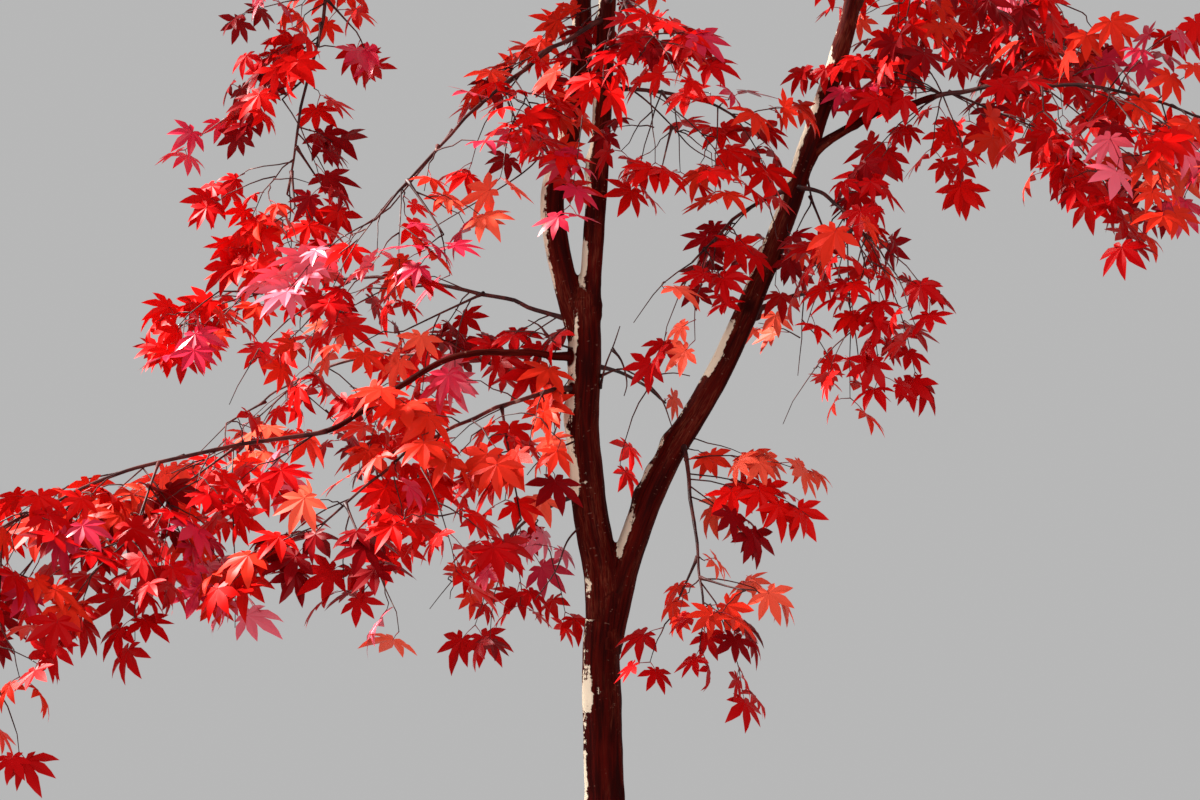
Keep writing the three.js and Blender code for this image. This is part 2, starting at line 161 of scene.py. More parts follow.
sideTwig = {  # as long as its mass's space, found in steps, less what is kept back for its leaf
    "spacing": 0.155, "spread": (46, 68), "step": 10, "steps": 60, "keptBack": 0.9, "least": 0.42,
    "sag": 0.12, "arch": 0.08, "lastLeaf": 0.98}
clearance = {"wood": 12, "masses": 5, "beadSpacing": 18}


class Line:
    # A curve as a fine row of points, looked up by the share of its length. Past its ends it runs straight.
    def __init__(self, points):
        run = np.concatenate([[0], np.cumsum(np.linalg.norm(np.diff(points, axis=0), axis=1))])
        self.points, self.length, self.shares = points, run[-1], run / run[-1]
        self.slopes = unit(np.gradient(points, run, axis=0))

    def ahead(self, share):
        # The way the curve runs there, between the slopes of its two nearest points.
        return unit(np.stack([np.interp(share, self.shares, column) for column in self.slopes.T], axis=-1))

    def at(self, share):
        # The spot there, between the curve's two nearest points.
        held = np.clip(share, 0, 1)
        spot = np.stack([np.interp(held, self.shares, column) for column in self.points.T], axis=-1)
        return spot + self.ahead(share) * ((np.asarray(share) - held) * self.length)[..., None]

    def shareAtHeight(self, height, step=0.001):
        # The first share at which the curve has come up to a height.
        shares = np.arange(0, 1, step)
        return shares[np.argmax(self.at(shares)[:, 2] >= height)]


def throughPoints(through, steps=80):
    # Centripetal Catmull-Rom: a cubic between each two points, whose slopes weigh the chords by the roots of
    # their lengths. The row is carried on past both ends by its last step.
    p = np.array(through, float)
    p = np.concatenate([[2 * p[0] - p[1]], p, [2 * p[-1] - p[-2]]])
    pieces = []
    for a, b, c, d in zip(p, p[1:], p[2:], p[3:]):
        ab, bc, cd = (math.sqrt(math.dist(*pair)) for pair in ((a, b), (b, c), (c, d)))
        leave = ((b - a) / ab - (c - a) / (ab + bc) + (c - b) / bc) * bc
        reach = ((c - b) / bc - (d - b) / (bc + cd) + (d - c) / cd) * bc
        t = np.linspace(0, 1, steps, endpoint=False)[:, None]
        square, cube = 3 * c - 3 * b - 2 * leave - reach, 2 * b - 2 * c + leave + reach
        pieces.append(b + leave * t + square * t**2 + cube * t**3)
    return Line(np.concatenate([*pieces, [p[-2]]]))


def archLine(root, tip, steps=200):
    # A parabola from root to tip, whose middle rises by a share of its level length.
    rise = up * np.linalg.norm((tip - root)[:2]) * sideTwig["arch"] * 2
    t = np.linspace(0, 1, steps + 1)[:, None]
    return Line((1 - t) ** 2 * root + 2 * t * (1 - t) * ((root + tip) / 2 + rise) + t**2 * tip)


def dice(seed, factor=16807, start=48271, top=2147483647):
    # Even random numbers between two limits, the same ones for the same seed: each is the last one times the
    # factor, less as many times the top as fit into it.
    state = seed * factor * start % top

    def throw(low, high):
        nonlocal state
        state = state * factor % top
        return mix(low, high, state / top)
    return throw


limbLines = {name: throughPoints(limb["through"]) for name, limb in mainLimbs.items()}
limbRadii = {name: limb["radii"] for name, limb in mainLimbs.items()}
for name, (parent, height, *points) in sideBoughs.items():
    root = limbLines[parent].at(limbLines[parent].shareAtHeight(height))
    limbLines[name] = throughPoints([root, *points])
    limbRadii[name] = sideBoughRadii


def massRow(limb, tip, space, shape):
    # All that the rule needs of one mass: its stem from the limb to its tip, and its own directions. "turn"
    # is the corner where the stem carries a side bough on: the stem's way less the bough's.
    row = {**usual, **shape, "space": space}
    parent = limbLines[limb]
    place = parent.shareAtHeight(row["height"]) if row["height"] else 1
    root = parent.at(place)
    row["buried"] = mix(*limbRadii[limb], place) if row["height"] else 0
    row["stem"] = archLine(root, np.array(tip, float))
    carriesOn = limb in sideBoughs and not row["height"]
    row["turn"] = row["stem"].ahead(0) - parent.ahead(1) if carriesOn else 0 * up
    row["firstLeaf"] = row["stem"].at(row["bare"])
    row["ahead"] = unit(tip - row["firstLeaf"])
    row["side"] = unit(np.cross(row["ahead"], up))
    row["lift"] = np.cross(row["side"], row["ahead"])
    row["chord"] = np.linalg.norm(tip - row["firstLeaf"])
    return row


massRows = [massRow(*mass) for mass in masses.values()]
massColumns = {key: np.array([row[key] for row in massRows])
               for key in ("firstLeaf", "ahead", "side", "lift", "chord", "hang", "space")}


def belongs(number, spots):
    # A spot is the mass's own if no other's middle line is as near, and it lies in the mass's rounded space.
    c = massColumns
    way = spots[:, None, :] - c["firstLeaf"] + up * c["hang"][:, None]
    along, aside, above = (np.sum(way * c[axis], axis=2) for axis in ("ahead", "side", "lift"))
    past = along - np.clip(along, 0, c["chord"])
    width, height = c["space"].T
    depth = np.sqrt((past / width) ** 2 + (aside / width) ** 2 + (above / height) ** 2)[:, number]
    distance = np.sqrt(past**2 + aside**2 + above**2)
    own = distance[:, number].copy()
    distance[:, number] = np.inf
    return (depth < 1) & (distance.min(axis=1) > own + clearance["masses"])


def beadsAlong(line, radii, spacing):
    # Even spots along a line and the line's radius at each: a taper from the first radius to the second.
    shares = np.linspace(0, 1, math.ceil(line.length / spacing) + 1)
    return line.at(shares), mix(*radii, shares)


stemRadii = (4.2, 2.2)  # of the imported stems, which are thicker than the drawn ones
beadRows = [beadsAlong(limbLines[name], limbRadii[name], clearance["beadSpacing"]) for name in limbLines]
beadRows += [beadsAlong(row["stem"], stemRadii, clearance["beadSpacing"]) for row in massRows]
beadSpots, beadSizes = (np.concatenate(column) for column in zip(*beadRows))
beadOwners = np.concatenate([np.full(len(spots), i - len(limbLines))
                             for i, (spots, _) in enumerate(beadRows)])


def isClear(number, spots):
    # A spot is clear if every bead of a limb or another stem is further off than its radius and some room.
    others = beadOwners != number
    distance = np.linalg.norm(spots[:, None, :] - beadSpots[others], axis=2)
    return (distance > beadSizes[others] + clearance["wood"]).all(axis=1)


def bigLeafOn(row, line, share, hand, throw):
    # A large leaf's frame, turned from its twig to one hand, and hanging.
    turn = math.radians(hand * throw(*bigLeaf["turn"]) + throw(-row["fan"], row["fan"]))
    x, y, _ = line.ahead(share)
    level = unit(np.array([x, y, 0]))
    cos, sin = math.cos(turn), math.sin(turn)
    axis = np.array([level[0] * cos + level[1] * sin, level[1] * cos - level[0] * sin, 0])
    axis = unit(axis - up * throw(*bigLeaf["droop"]))
    length = bigLeaf["length"] * row["size"] * throw(*bigLeaf["sizes"])
    root = line.at(share)
    right = unit(np.cross(axis, up))
    return {"root": root, "hub": root + axis * bigLeaf["stalk"] * length, "axis": axis, "right": right,
            "face": np.cross(right, axis), "length": length}


def bigLeafSpots(leaf):
    # The spots of a large leaf that must fit: hub, tips, notches, root and half-way out along each lobe.
    lobes = bigLeaf["lobes"]
    spots = [(0, 0, 0), (180, bigLeaf["stalk"], 0)]
    spots += [(angle, reach, bigLeaf["curl"] * reach) for angle, reach in lobes]
    spots += [((a + b) / 2, bigLeaf["notch"], 0) for (a, _), (b, _) in zip(lobes, lobes[1:])]
    spots += [(angle, reach / 2, 0) for angle, reach in lobes]
    angle, reach, sag = np.array(spots).T[:, :, None]
    angle = np.radians(angle)
    way = leaf["axis"] * np.cos(angle) * reach + leaf["right"] * np.sin(angle) * reach - leaf["face"] * sag
    return leaf["hub"] + way * leaf["length"]


def sideTwigLine(number, row, share, hand, throw):
    # A straight side twig that leaves the stem to one hand, if its space has room for one.
    centre, ahead = row["stem"].at(share), row["stem"].ahead(share)
    spread = math.radians(throw(*sideTwig["spread"]))
    tilt = math.radians(throw(-row["fan"], row["fan"]))
    way = ahead * math.cos(spread) + row["side"] * hand * math.cos(tilt) * math.sin(spread)
    way = way + row["lift"] * math.sin(tilt) * math.sin(spread)
    step = sideTwig["step"]
    inside = belongs(number, centre + way * np.arange(step, sideTwig["steps"] * step, step)[:, None])
    length = step * np.argmin(inside) - sideTwig["keptBack"] * bigLeaf["length"] * row["size"]
    tip = centre + way * length - up * sideTwig["sag"] * length
    isLong = length >= sideTwig["least"] * bigLeaf["length"] * row["size"]
    return Line(np.stack([centre, (centre + tip) / 2, tip])) if isLong else None


def growMass(number, row):
    # The side twigs and the large leaves of one mass, found by the part's rule.
    leaves, twigs, taken = [], [], np.empty((0, 3))
    apart = bigLeaf["apart"] * bigLeaf["length"] * row["size"]

    def addLeaves(candidates):
        # Keeps each leaf that has room, and says whether there was one.
        nonlocal taken
        before = len(leaves)
        for leaf in candidates:
            spots = bigLeafSpots(leaf)
            crowded = (np.linalg.norm(spots[:, None, :] - taken, axis=2) < apart).any()
            if crowded or not belongs(number, spots).all() or not isClear(number, spots).all():
                continue
            taken = np.concatenate([taken, spots])
            leaves.append(leaf)
        return len(leaves) > before

    seed = (number + 1) * 100  # so each place along a stem has dice of its own
    addLeaves([bigLeafOn(row, row["stem"], sideTwig["lastLeaf"], 0, dice(seed))])
    leafy = row["stem"].length * (1 - row["bare"])
    count = round(leafy / (sideTwig["spacing"] * bigLeaf["length"] * row["size"]))
    for i in range(1, count + 1):
        throw = dice(seed + i)
        share = mix(row["bare"], 1, i / (count + 1))
        hand = 1 if i // 2 % 2 else -1
        side = sideTwigLine(number, row, share, hand, throw) if i % 2 else None
        if side is None:
            addLeaves([bigLeafOn(row, row["stem"], share, hand, throw)])
            continue
        step = bigLeaf["spacing"] * bigLeaf["length"] * row["size"] / side.length
        candidates = [bigLeafOn(row, side, sideTwig["lastLeaf"], 0, throw)]
        candidates += [bigLeafOn(row, side, 1 - k * step, (-1) ** k, throw)
                       for k in range(1, math.ceil(1 / step)) if k * step < 1 - step / 2]
        if addLeaves(candidates):
            twigs.append(side)
    return leaves, twigs


grown = [growMass(number, row) for number, row in enumerate(massRows)]
print("sprays:", sum(len(leaves) for leaves, _ in grown),
      "side twigs:", sum(len(twigs) for _, twigs in grown))


# Meshes from arrays
def meshPiece(name, spots, faceSets, material):
    # One mesh in metres from its spots in millimetres and its faces, in sets of equal corner count.
    mesh = bpy.data.meshes.new(name)
    corners = np.concatenate([faces.ravel() for faces in faceSets]).astype(np.int32)
    counts = np.concatenate([np.full(len(faces), faces.shape[1]) for faces in faceSets])
    mesh.vertices.add(len(spots))
    mesh.loops.add(len(corners))
    mesh.polygons.add(len(counts))
    mesh.vertices.foreach_set("co", (spots * mm).astype(np.float32).ravel())
    mesh.loops.foreach_set("vertex_index", corners)
    mesh.polygons.foreach_set("loop_start", np.concatenate([[0], np.cumsum(counts)[:-1]]).astype(np.int32))
    mesh.polygons.foreach_set("use_smooth", np.full(len(counts), True))
    mesh.update(calc_edges=True)
    mesh.materials.append(material)
    piece = bpy.data.objects.new(name, mesh)
    bpy.context.scene.collection.objects.link(piece)
    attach(piece, "root")
    return piece


def tubes(paths, radii, sides):
    # Round tubes along many paths of equal count: at each point a circle square to the path, and a face on
    # each end. paths is (tubes, points, 3) and radii is (tubes, points).
    many, count, _ = paths.shape
    ahead = unit(np.gradient(paths, axis=1))
    run = unit(paths[:, -1] - paths[:, 0])
    isDeep = np.abs(run[:, 1:2]) > 0.7  # these run from front to back, so their circles start from X, not Y
    across = np.where(isDeep, [1.0, 0.0, 0.0], [0.0, 1.0, 0.0])[:, None, :]
    right = unit(np.cross(ahead, across))
    out = np.cross(ahead, right)
    turn = np.arange(sides) * 2 * math.pi / sides
    ring = right[:, :, None] * np.cos(turn)[:, None] + out[:, :, None] * np.sin(turn)[:, None]
    spots = paths[:, :, None] + ring * radii[:, :, None, None]
    index = np.arange(many * count * sides).reshape(many, count, sides)
    low, high = index[:, :-1], index[:, 1:]
    walls = np.stack([low, np.roll(low, -1, axis=2), np.roll(high, -1, axis=2), high], axis=-1)
    ends = np.concatenate([index[:, 0, ::-1], index[:, -1]])
    return spots.reshape(-1, 3), [walls.reshape(-1, 4), ends]


def joined(parts):
    # Several sets of spots and faces as one.
    spots, sets, start = [], [], 0
    for partSpots, partSets in parts:
        sets += [faces + start for faces in partSets]
        spots.append(partSpots)
        start += len(partSpots)
    return np.concatenate(spots), sets


# The shape of a leaf
leafShape = {  # degrees from the midline and reach of each lobe, as shares of the middle lobe's length
    "lobes": [(-127, 0.36), (-83, 0.74), (-41, 0.93), (0, 1.0), (41, 0.93), (83, 0.74), (127, 0.36)],
    "notches": [0.07, 0.23, 0.33, 0.375, 0.375, 0.33, 0.23, 0.07],  # where the cuts start, from base to base
    "lastCut": 168,  # degrees from the midline to the blade's last rim beside its stalk
    "widestGap": 1.2,  # radians, for how far a notch lies from its midribs
    "outline": [(0.53, 0.160), (0.79, 0.090)],  # how far along a lobe, and half its width there
    "sizes": (32, 50),  # millimetres from hub to the middle lobe's tip
    "curls": (0.1, 1.0),  # radians that a lobe bends down over its length
    "curlJitter": 0.22, "curlLimits": (0.05, 1.7),
    "folds": (0.02, 0.34),  # slope of a lobe's two halves up from its midrib
    "lobeJitter": 0.07,
    "seed": 100}


def leafTemplate():
    # Each half lobe is a strip of seven spots between its midrib and its rim: reach, angle, distance from the
    # midrib, and how much each lobe's bend counts there. At a notch the two lobes beside it count half each.
    lobes, notches = leafShape["lobes"], leafShape["notches"]
    angles = np.array([angle for angle, _ in lobes], float)
    last = leafShape["lastCut"]
    cuts = np.concatenate([[-last], (angles[1:] + angles[:-1]) / 2, [last]])
    rows, quads, triangles = [], [], []
    for i, (angle, reach) in enumerate(lobes):
        own = np.eye(len(lobes))[i]
        for hand in (-1, 1):
            cut = i + (hand > 0)
            other = min(max(i + hand, 0), len(lobes) - 1)
            gap = min(math.radians(abs(cuts[cut] - angle)), leafShape["widestGap"])
            shared = (own + np.eye(len(lobes))[other]) / 2
            strip = [(0, angle, 0, own), (notches[cut], cuts[cut], notches[cut] * math.sin(gap), shared)]
            for along, half in leafShape["outline"]:
                width = half * reach**0.5
                strip.append((math.hypot(along * reach, width),
                              angle + hand * math.degrees(math.atan2(width, along * reach)), width, own))
                strip.append((along * reach, angle, 0, own))
            strip.append((reach, angle, 0, own))
            k = len(rows)
            rows += strip
            faces = [[k, k + 1, k + 2, k + 3], [k + 3, k + 2, k + 4, k + 5]]
            quads += [face[::-hand] for face in faces]
            triangles.append([k + 5, k + 4, k + 6][::-hand])
    reach, angle, off, weights = zip(*rows)
    return (np.array(reach, float), np.radians(angle), np.array(off, float), np.array(weights),
            [np.array(quads), np.array(triangles)])


leafReach, leafAngle, leafOff, leafWeights, leafFaces = leafTemplate()


def leafMesh(hubs, axes, faces, sizes, random):
    # Every spot runs out from its leaf's hub along an arc that bends down by the lobe's curl: out is
    # sin(curl * reach) / curl, down is (1 - cos(curl * reach)) / curl, and the rim stands up by the fold.
    many, lobeCount = len(hubs), leafWeights.shape[1]
    base = random.uniform(*leafShape["curls"], (many, 1))
    curl = base + random.normal(0, leafShape["curlJitter"], (many, lobeCount))
    curl = np.clip(curl, *leafShape["curlLimits"]) @ leafWeights.T
    stretch = 1 + random.normal(0, leafShape["lobeJitter"], (many, lobeCount)) @ leafWeights.T
    reach = leafReach * stretch
    out, down = np.sin(curl * reach) / curl, (1 - np.cos(curl * reach)) / curl
    rise = random.uniform(*leafShape["folds"], (many, 1)) * leafOff - down
    right = np.cross(faces, axes)
    along, aside = (out * np.cos(leafAngle))[..., None], (out * np.sin(leafAngle))[..., None]
    way = axes[:, None] * along + right[:, None] * aside + faces[:, None] * rise[..., None]
    spots = hubs[:, None] + way * sizes[:, None, None]
    starts = np.arange(many)[:, None, None] * len(leafReach)
    return spots.reshape(-1, 3), [(starts + kind).reshape(-1, kind.shape[1]) for kind in leafFaces]


# The sprays
spray = {
    "shootReach": 0.74,  # of the large leaf's lobe; the leaves at its end reach the rest
    "tipJitter": 0.07,
    "forks": (0.3, 0.6),  # where along the middle shoot the others leave it
    "shootRadii": (1.1, 0.5),
    "shootPoints": 6,
    "bow": 0.07,
    "nodeKink": 1.2,
    "pairs": (1, 4),  # of leaves, from a shoot's tip backwards
    "nodeSpacing": (20, 34),
    "stalks": (12, 27),
    "spread": (22, 74),  # degrees between a leaf's stalk and its shoot
    "lift": (-0.3, 0.5),  # of the stalk out of the spray's plane
    "roll": 30,  # degrees
    "rise": 0.02,  # how much of its stalk's slope a blade keeps before it droops
    "sideJitter": 0.12,
    "bareFoot": 0.12,  # the first share of a shoot, without leaves
    "apart": 24,  # between the middles of two leaves
    "blade": 0.9,  # the share of a leaf's length that has to stay clear
    "clearOfWood": 5, "woodSpacing": 6}
looseShoots = {  # further shoots that leave stems and side twigs between the sprays
    "spacing": 44, "lengths": (38, 96), "spread": (30, 76), "fan": 50, "sag": (0.0, 0.6), "pairs": (1, 3),
    "apart": 34, "first": 20, "jitter": 10,
    "checked": (0.6, 1.0),  # the shares of its length where a shoot has to have room
    "sideBare": 0.1}  # the first share of a side twig, without shoots
seenShoot = {  # a shoot to an end that the photo shows
    "depth": 40,  # how far its end may be before or behind its stem
    "back": 0.6,  # how far back along its twig it starts, for each millimetre that its end is off the twig
    "first": 0.03,  # the least share of the twig where it may start
    "pairs": (2, 5)}
twigShape = {
    "stemRadii": (3.0, 1.3), "sideRadii": (1.7, 0.9), "bareRadii": (1.5, 0.6),
    "stemSides": 8, "sideSides": 6, "shootSides": 5, "step": 12, "bareStep": 7, "fewest": 4,
    "collar": (0.7, 9),  # how much thicker a twig starts, and over what length
    "carriedCollar": (0.1, 9),  # where a stem carries a side bough on
    "knob": (0.12, 8),  # how much thicker the nodes are, and how short
    "kink": 2.2, "kinkSpacing": 38, "fade": 40, "ease": 40}
photoView = {"eye": (-5, -4500, 1500), "middle": (600, 400), "focal": 3600}  # the eye in millimetres, pixels
seenShoots = {  # where the photo shows the end of a leafy shoot, in its pixels across and down
    "lower_left": [(215, 468), (30, 500), (95, 495), (60, 600), (135, 640), (235, 628), (205, 600),
                   (300, 435), (285, 462)],
    "near_left": [(315, 500), (250, 575), (300, 560), (345, 590), (375, 560), (425, 520), (480, 470),
                  (505, 500), (555, 430), (395, 470), (402, 515), (388, 395)],
    "middle_left": [(185, 345), (205, 300), (260, 270), (235, 320), (300, 330), (395, 300), (440, 340),
                    (500, 372), (455, 374), (525, 382), (545, 392), (500, 345)],
    "upper_left": [(560, 172), (545, 135), (470, 92), (515, 125), (480, 215), (425, 250), (450, 275),
                   (405, 215)],
    "front_centre": [(535, 45), (560, 62), (590, 30), (570, 205), (680, 35)],
    "hanging_left": [(225, 25), (250, 105), (185, 150), (225, 185), (300, 215), (345, 205), (290, 262),
                     (370, 80), (262, 58), (240, 88), (320, 95)],
    "inner_low_left": [(475, 625), (520, 605), (565, 612), (540, 545), (500, 560), (490, 638)],
    "fork_gap": [(545, 490), (620, 465), (665, 400), (555, 400)],
    "lower_right": [(682, 602), (718, 612), (762, 592), (745, 455), (800, 470), (812, 518), (742, 528),
                    (705, 560), (700, 648), (742, 690), (650, 662), (780, 605), (735, 632), (785, 512),
                    (700, 452)],
    "right_hanging": [(815, 265), (788, 250), (838, 280), (868, 185), (800, 295), (830, 245), (862, 210),
                      (805, 330), (930, 300), (880, 375), (850, 398), (915, 372), (885, 242), (775, 285),
                      (852, 305)],
    "right_inner": [(662, 352), (695, 340), (722, 290), (740, 240)],
    "top_centre": [(765, 142), (790, 108), (728, 100), (745, 118), (770, 182), (715, 192), (640, 185)],
    "upper_right": [(852, 182), (880, 160), (812, 70), (850, 62), (882, 100), (932, 148), (962, 178),
                    (838, 95), (1100, 30), (1160, 42), (905, 45), (1182, 30), (1186, 76), (1130, 100),
                    (1170, 168), (1185, 195)],
}
openings = [  # where the photo shows no leaves of this tree: middle and half sizes in its pixels
    (165, 412, 92, 42), (228, 392, 52, 36), (420, 45, 42, 80), (386, 150, 40, 62), (285, 165, 42, 42),
    (410, 125, 45, 48), (515, 288, 52, 52), (640, 275, 48, 68), (650, 140, 42, 25), (775, 392, 50, 50),
    (990, 370, 55, 110), (425, 612, 38, 54), (495, 412, 44, 26), (855, 610, 60, 105), (650, 545, 32, 48),
    (690, 740, 100, 32), (780, 568, 36, 20), (300, 660, 60, 40), (90, 452, 110, 36), (700, 155, 28, 22),
    (625, 425, 24, 18), (812, 352, 36, 13), (370, 232, 28, 24), (203, 45, 22, 34), (632, 346, 26, 26),
    (540, 482, 22, 20), (185, 668, 40, 22), (592, 430, 36, 130), (662, 498, 24, 48), (714, 380, 24, 58),
    (750, 292, 18, 40)]


def seenAt(spots):
    # Where the photo's eye sees a spot: its way from the eye divided by its depth.
    across, depth, height = (spots - np.array(photoView["eye"])).T
    return np.stack([photoView["middle"][0] + across * photoView["focal"] / depth,
                     photoView["middle"][1] - height * photoView["focal"] / depth], axis=1)


def fromPhoto(across, down, depth):
    # The spot at this depth that the photo's eye sees there.
    x, y, z = photoView["eye"]
    middleAcross, middleDown = photoView["middle"]
    share = (depth - y) / photoView["focal"]
    return np.array([x + (across - middleAcross) * share, depth, z + (middleDown - down) * share])


def wandered(line, kink, random):
    # A line with slight kinks at its nodes, none at its ends.
    along = line.shares * line.length
    places = np.arange(math.ceil(line.length / twigShape["kinkSpacing"]) + 2) * twigShape["kinkSpacing"]
    kinks = random.normal(0, kink, (len(places), 3))
    fade = np.clip(along / twigShape["fade"], 0, 1) * np.clip((line.length - along) / twigShape["fade"], 0, 1)
    moved = np.stack([np.interp(along, places, column) for column in kinks.T], axis=1)
    return Line(line.points + moved * fade[:, None])


def eased(line, turn, fromEnd):
    # A line without the corner at its start or end: a spot moves by half the turn times the easing length,
    # times exp(-distance from the corner / easing length), so that both lines leave along the same way.
    along = line.shares * line.length
    away = line.length - along if fromEnd else along
    ease = twigShape["ease"]
    return Line(line.points + turn * ease / 2 * np.exp(-away / ease)[:, None])


def nearestOn(lines, spot):
    # The line that comes nearest to a spot, the share of its length there, and how far off it is.
    found = []
    for number, line in enumerate(lines):
        distance = np.linalg.norm(line.points - spot, axis=1)
        found.append((distance.min(), number, line.shares[np.argmin(distance)]))
    far, number, share = min(found)
    return number, share, far


def photoShoots(name, row, lines, random):
    # Shoots to the ends that the photo shows, as deep as the stem is behind each of them. Each leaves the
    # mass's nearest twig a little way back.
    rows, stem = [], row["stem"].points
    for end in seenShoots.get(name, []):
        nearest = np.argmin(np.linalg.norm(seenAt(stem) - end, axis=1))
        tip = fromPhoto(*end, stem[nearest, 1] + random.uniform(-seenShoot["depth"], seenShoot["depth"]))
        number, share, far = nearestOn(lines, tip)
        share = max(seenShoot["first"], share - seenShoot["back"] * far / lines[number].length)
        start = lines[number].at(share)
        way = unit(tip - start)
        rows.append((number, share, [(start, tip, unit(up - way * way[2]))]))
    return rows


def sprayShoots(leaf, row, lines, random):
    # The shoots of one spray: the middle one first, from its twig, and others off it along the large leaf's
    # lobes.
    number, share, _ = nearestOn(lines, leaf["root"])
    rows = []
    for angle, reach in sorted(bigLeaf["lobes"], key=lambda lobe: abs(lobe[0])):
        isMiddle = angle == 0
        if not isMiddle and random.random() > row["fullness"]:
            continue
        way = leaf["axis"] * math.cos(math.radians(angle)) + leaf["right"] * math.sin(math.radians(angle))
        sag = leaf["face"] * bigLeaf["curl"] * reach / 2
        tip = leaf["hub"] + (way * reach - sag) * spray["shootReach"] * leaf["length"]
        tip = tip + random.normal(0, spray["tipJitter"] * leaf["length"], 3)
        if isMiddle:
            rows.append((lines[number].at(share), tip, leaf["face"]))
        else:
            fork, _ = alongShoots(rows[0], random.uniform(*spray["forks"]))
            rows.append((fork, tip, leaf["face"]))
    return number, share, rows


def shootsBetween(number, lineNumber, line, first, random):
    # Loose shoots to alternate hands of a stem or side twig, where they have room in the mass's own space.
    rows, hand, jitter = [], 1, looseShoots["jitter"]
    for along in np.arange(first * line.length + looseShoots["first"], line.length, looseShoots["spacing"]):
        share = min(1, (along + random.uniform(-jitter, jitter)) / line.length)
        turn = math.radians(random.uniform(*looseShoots["spread"]))
        tilt = math.radians(random.uniform(-1, 1) * looseShoots["fan"])
        length, sag = random.uniform(*looseShoots["lengths"]), random.uniform(*looseShoots["sag"])
        hand = -hand
        centre, ahead = line.at(share), line.ahead(share)
        side = unit(np.cross(ahead, up))
        out = side * hand * math.cos(tilt) + np.cross(side, ahead) * math.sin(tilt)
        way = unit(ahead * math.cos(turn) + out * math.sin(turn) - up * sag)
        spots = centre + way * length * np.array(looseShoots["checked"])[:, None]
        if belongs(number, spots).all() and isClear(number, spots).all():
            rows.append((lineNumber, share, [(centre, spots[1], unit(up - way * way[2]))]))
    return rows


def alongShoots(shoots, share):
    # A bowed line from start to tip: straight plus the face direction times bow * 4 * share * (1 - share).
    start, tip, face = shoots
    length = np.linalg.norm(tip - start, axis=-1, keepdims=True)
    bow = face * length * spray["bow"] * 4
    spot = start + (tip - start) * share + bow * share * (1 - share)
    return spot, unit(tip - start + bow * (1 - 2 * share))


def leavesOnNodes(row, spots, ahead, face, hands, random):
    # Leaves on stalks at the nodes: the stalk turns from the shoot to one hand, and the blade hangs from its
    # end.
    many = len(spots)
    turn = np.radians(random.uniform(*spray["spread"], (many, 1))) * hands[:, None]
    side = unit(np.cross(ahead, face))
    way = unit(ahead * np.cos(turn) + side * np.sin(turn) + face * random.uniform(*spray["lift"], (many, 1)))
    ends = spots + way * random.uniform(*spray["stalks"], (many, 1))
    jitter = random.normal(0, spray["sideJitter"], (many, 3)) * [1, 1, 0]
    level = unit(way * [1, 1, spray["rise"]] + jitter)
    droop = np.radians(random.uniform(*row["droop"], (many, 1)))
    axes = unit(level * np.cos(droop) - up * np.sin(droop))
    faces = unit(up - axes * dot(axes, up))
    roll = np.radians(random.normal(0, spray["roll"], (many, 1)))
    faces = faces * np.cos(roll) + np.cross(axes, faces) * np.sin(roll)
    sizes = random.uniform(*leafShape["sizes"], many) * row["leafScale"]
    return {"node": spots, "way": way, "hub": ends, "axis": axes, "face": faces, "size": sizes}


def pairsOfLeaves(row, shoot, pairs, random):
    # Opposite pairs of leaves from the shoot's tip backwards.
    start, tip, face = shoot
    length = np.linalg.norm(tip - start)
    steps = random.uniform(*spray["nodeSpacing"], random.integers(*pairs))
    nodes = 1 - np.concatenate([[0], np.cumsum(steps)[:-1]]) / length
    nodes = np.repeat(nodes[nodes > spray["bareFoot"]], 2)
    spots, ahead = alongShoots((start, tip, face), nodes[:, None])
    hands = np.tile([-1, 1], len(nodes) // 2)
    return leavesOnNodes(row, spots, ahead, np.broadcast_to(face, spots.shape), hands, random)


woodRows = [beadsAlong(limbLines[name], limbRadii[name], spray["woodSpacing"]) for name in limbLines]
woodSpots, woodSizes = (np.concatenate(column) for column in zip(*woodRows))
boxLow, boxHigh = (np.array(corner) / mm for corner in cadBox)
room = {"share": 0.012, "more": 5}  # how far past the limbs' and masses' box a leaf may reach, on each side
roomPast = room["share"] * (boxHigh - boxLow) + room["more"]
lobeAngles, lobeReaches = np.array(leafShape["lobes"]).T
lobeOut = (lobeReaches * np.cos(np.radians(lobeAngles)))[:, None]
lobeAcross = (lobeReaches * np.sin(np.radians(lobeAngles)))[:, None]


def keptLeaves(leaves):
    # A leaf is left out where it would touch a limb, crowd an earlier leaf, or reach past the whole tree's
    # room with a lobe's tip: hub + size * reach * (axis * cos(lobe's angle) + right * sin(lobe's angle)).
    reach = leaves["hub"] + leaves["axis"] * leaves["size"][:, None] * spray["blade"]
    middle = (leaves["hub"] + reach) / 2
    right = np.cross(leaves["face"], leaves["axis"])
    ways = leaves["axis"][:, None] * lobeOut + right[:, None] * lobeAcross
    tips = leaves["hub"][:, None] + leaves["size"][:, None, None] * ways
    free = ((tips > boxLow - roomPast) & (tips < boxHigh + roomPast)).all(axis=(1, 2))
    seen = seenAt(middle)
    for across, down, width, height in openings:
        free &= ((seen[:, 0] - across) / width) ** 2 + ((seen[:, 1] - down) / height) ** 2 > 1
    for spots in (leaves["hub"], middle, reach):
        distance = np.linalg.norm(spots[:, None] - woodSpots, axis=2) - woodSizes
        free &= distance.min(axis=1) > spray["clearOfWood"]
    between = np.linalg.norm(middle[:, None] - middle[None], axis=2)
    kept = []
    for i in np.flatnonzero(free):
        if (between[i, kept] > leaves["apart"][i]).all():
            kept.append(i)
    return {key: values[kept] for key, values in leaves.items()}
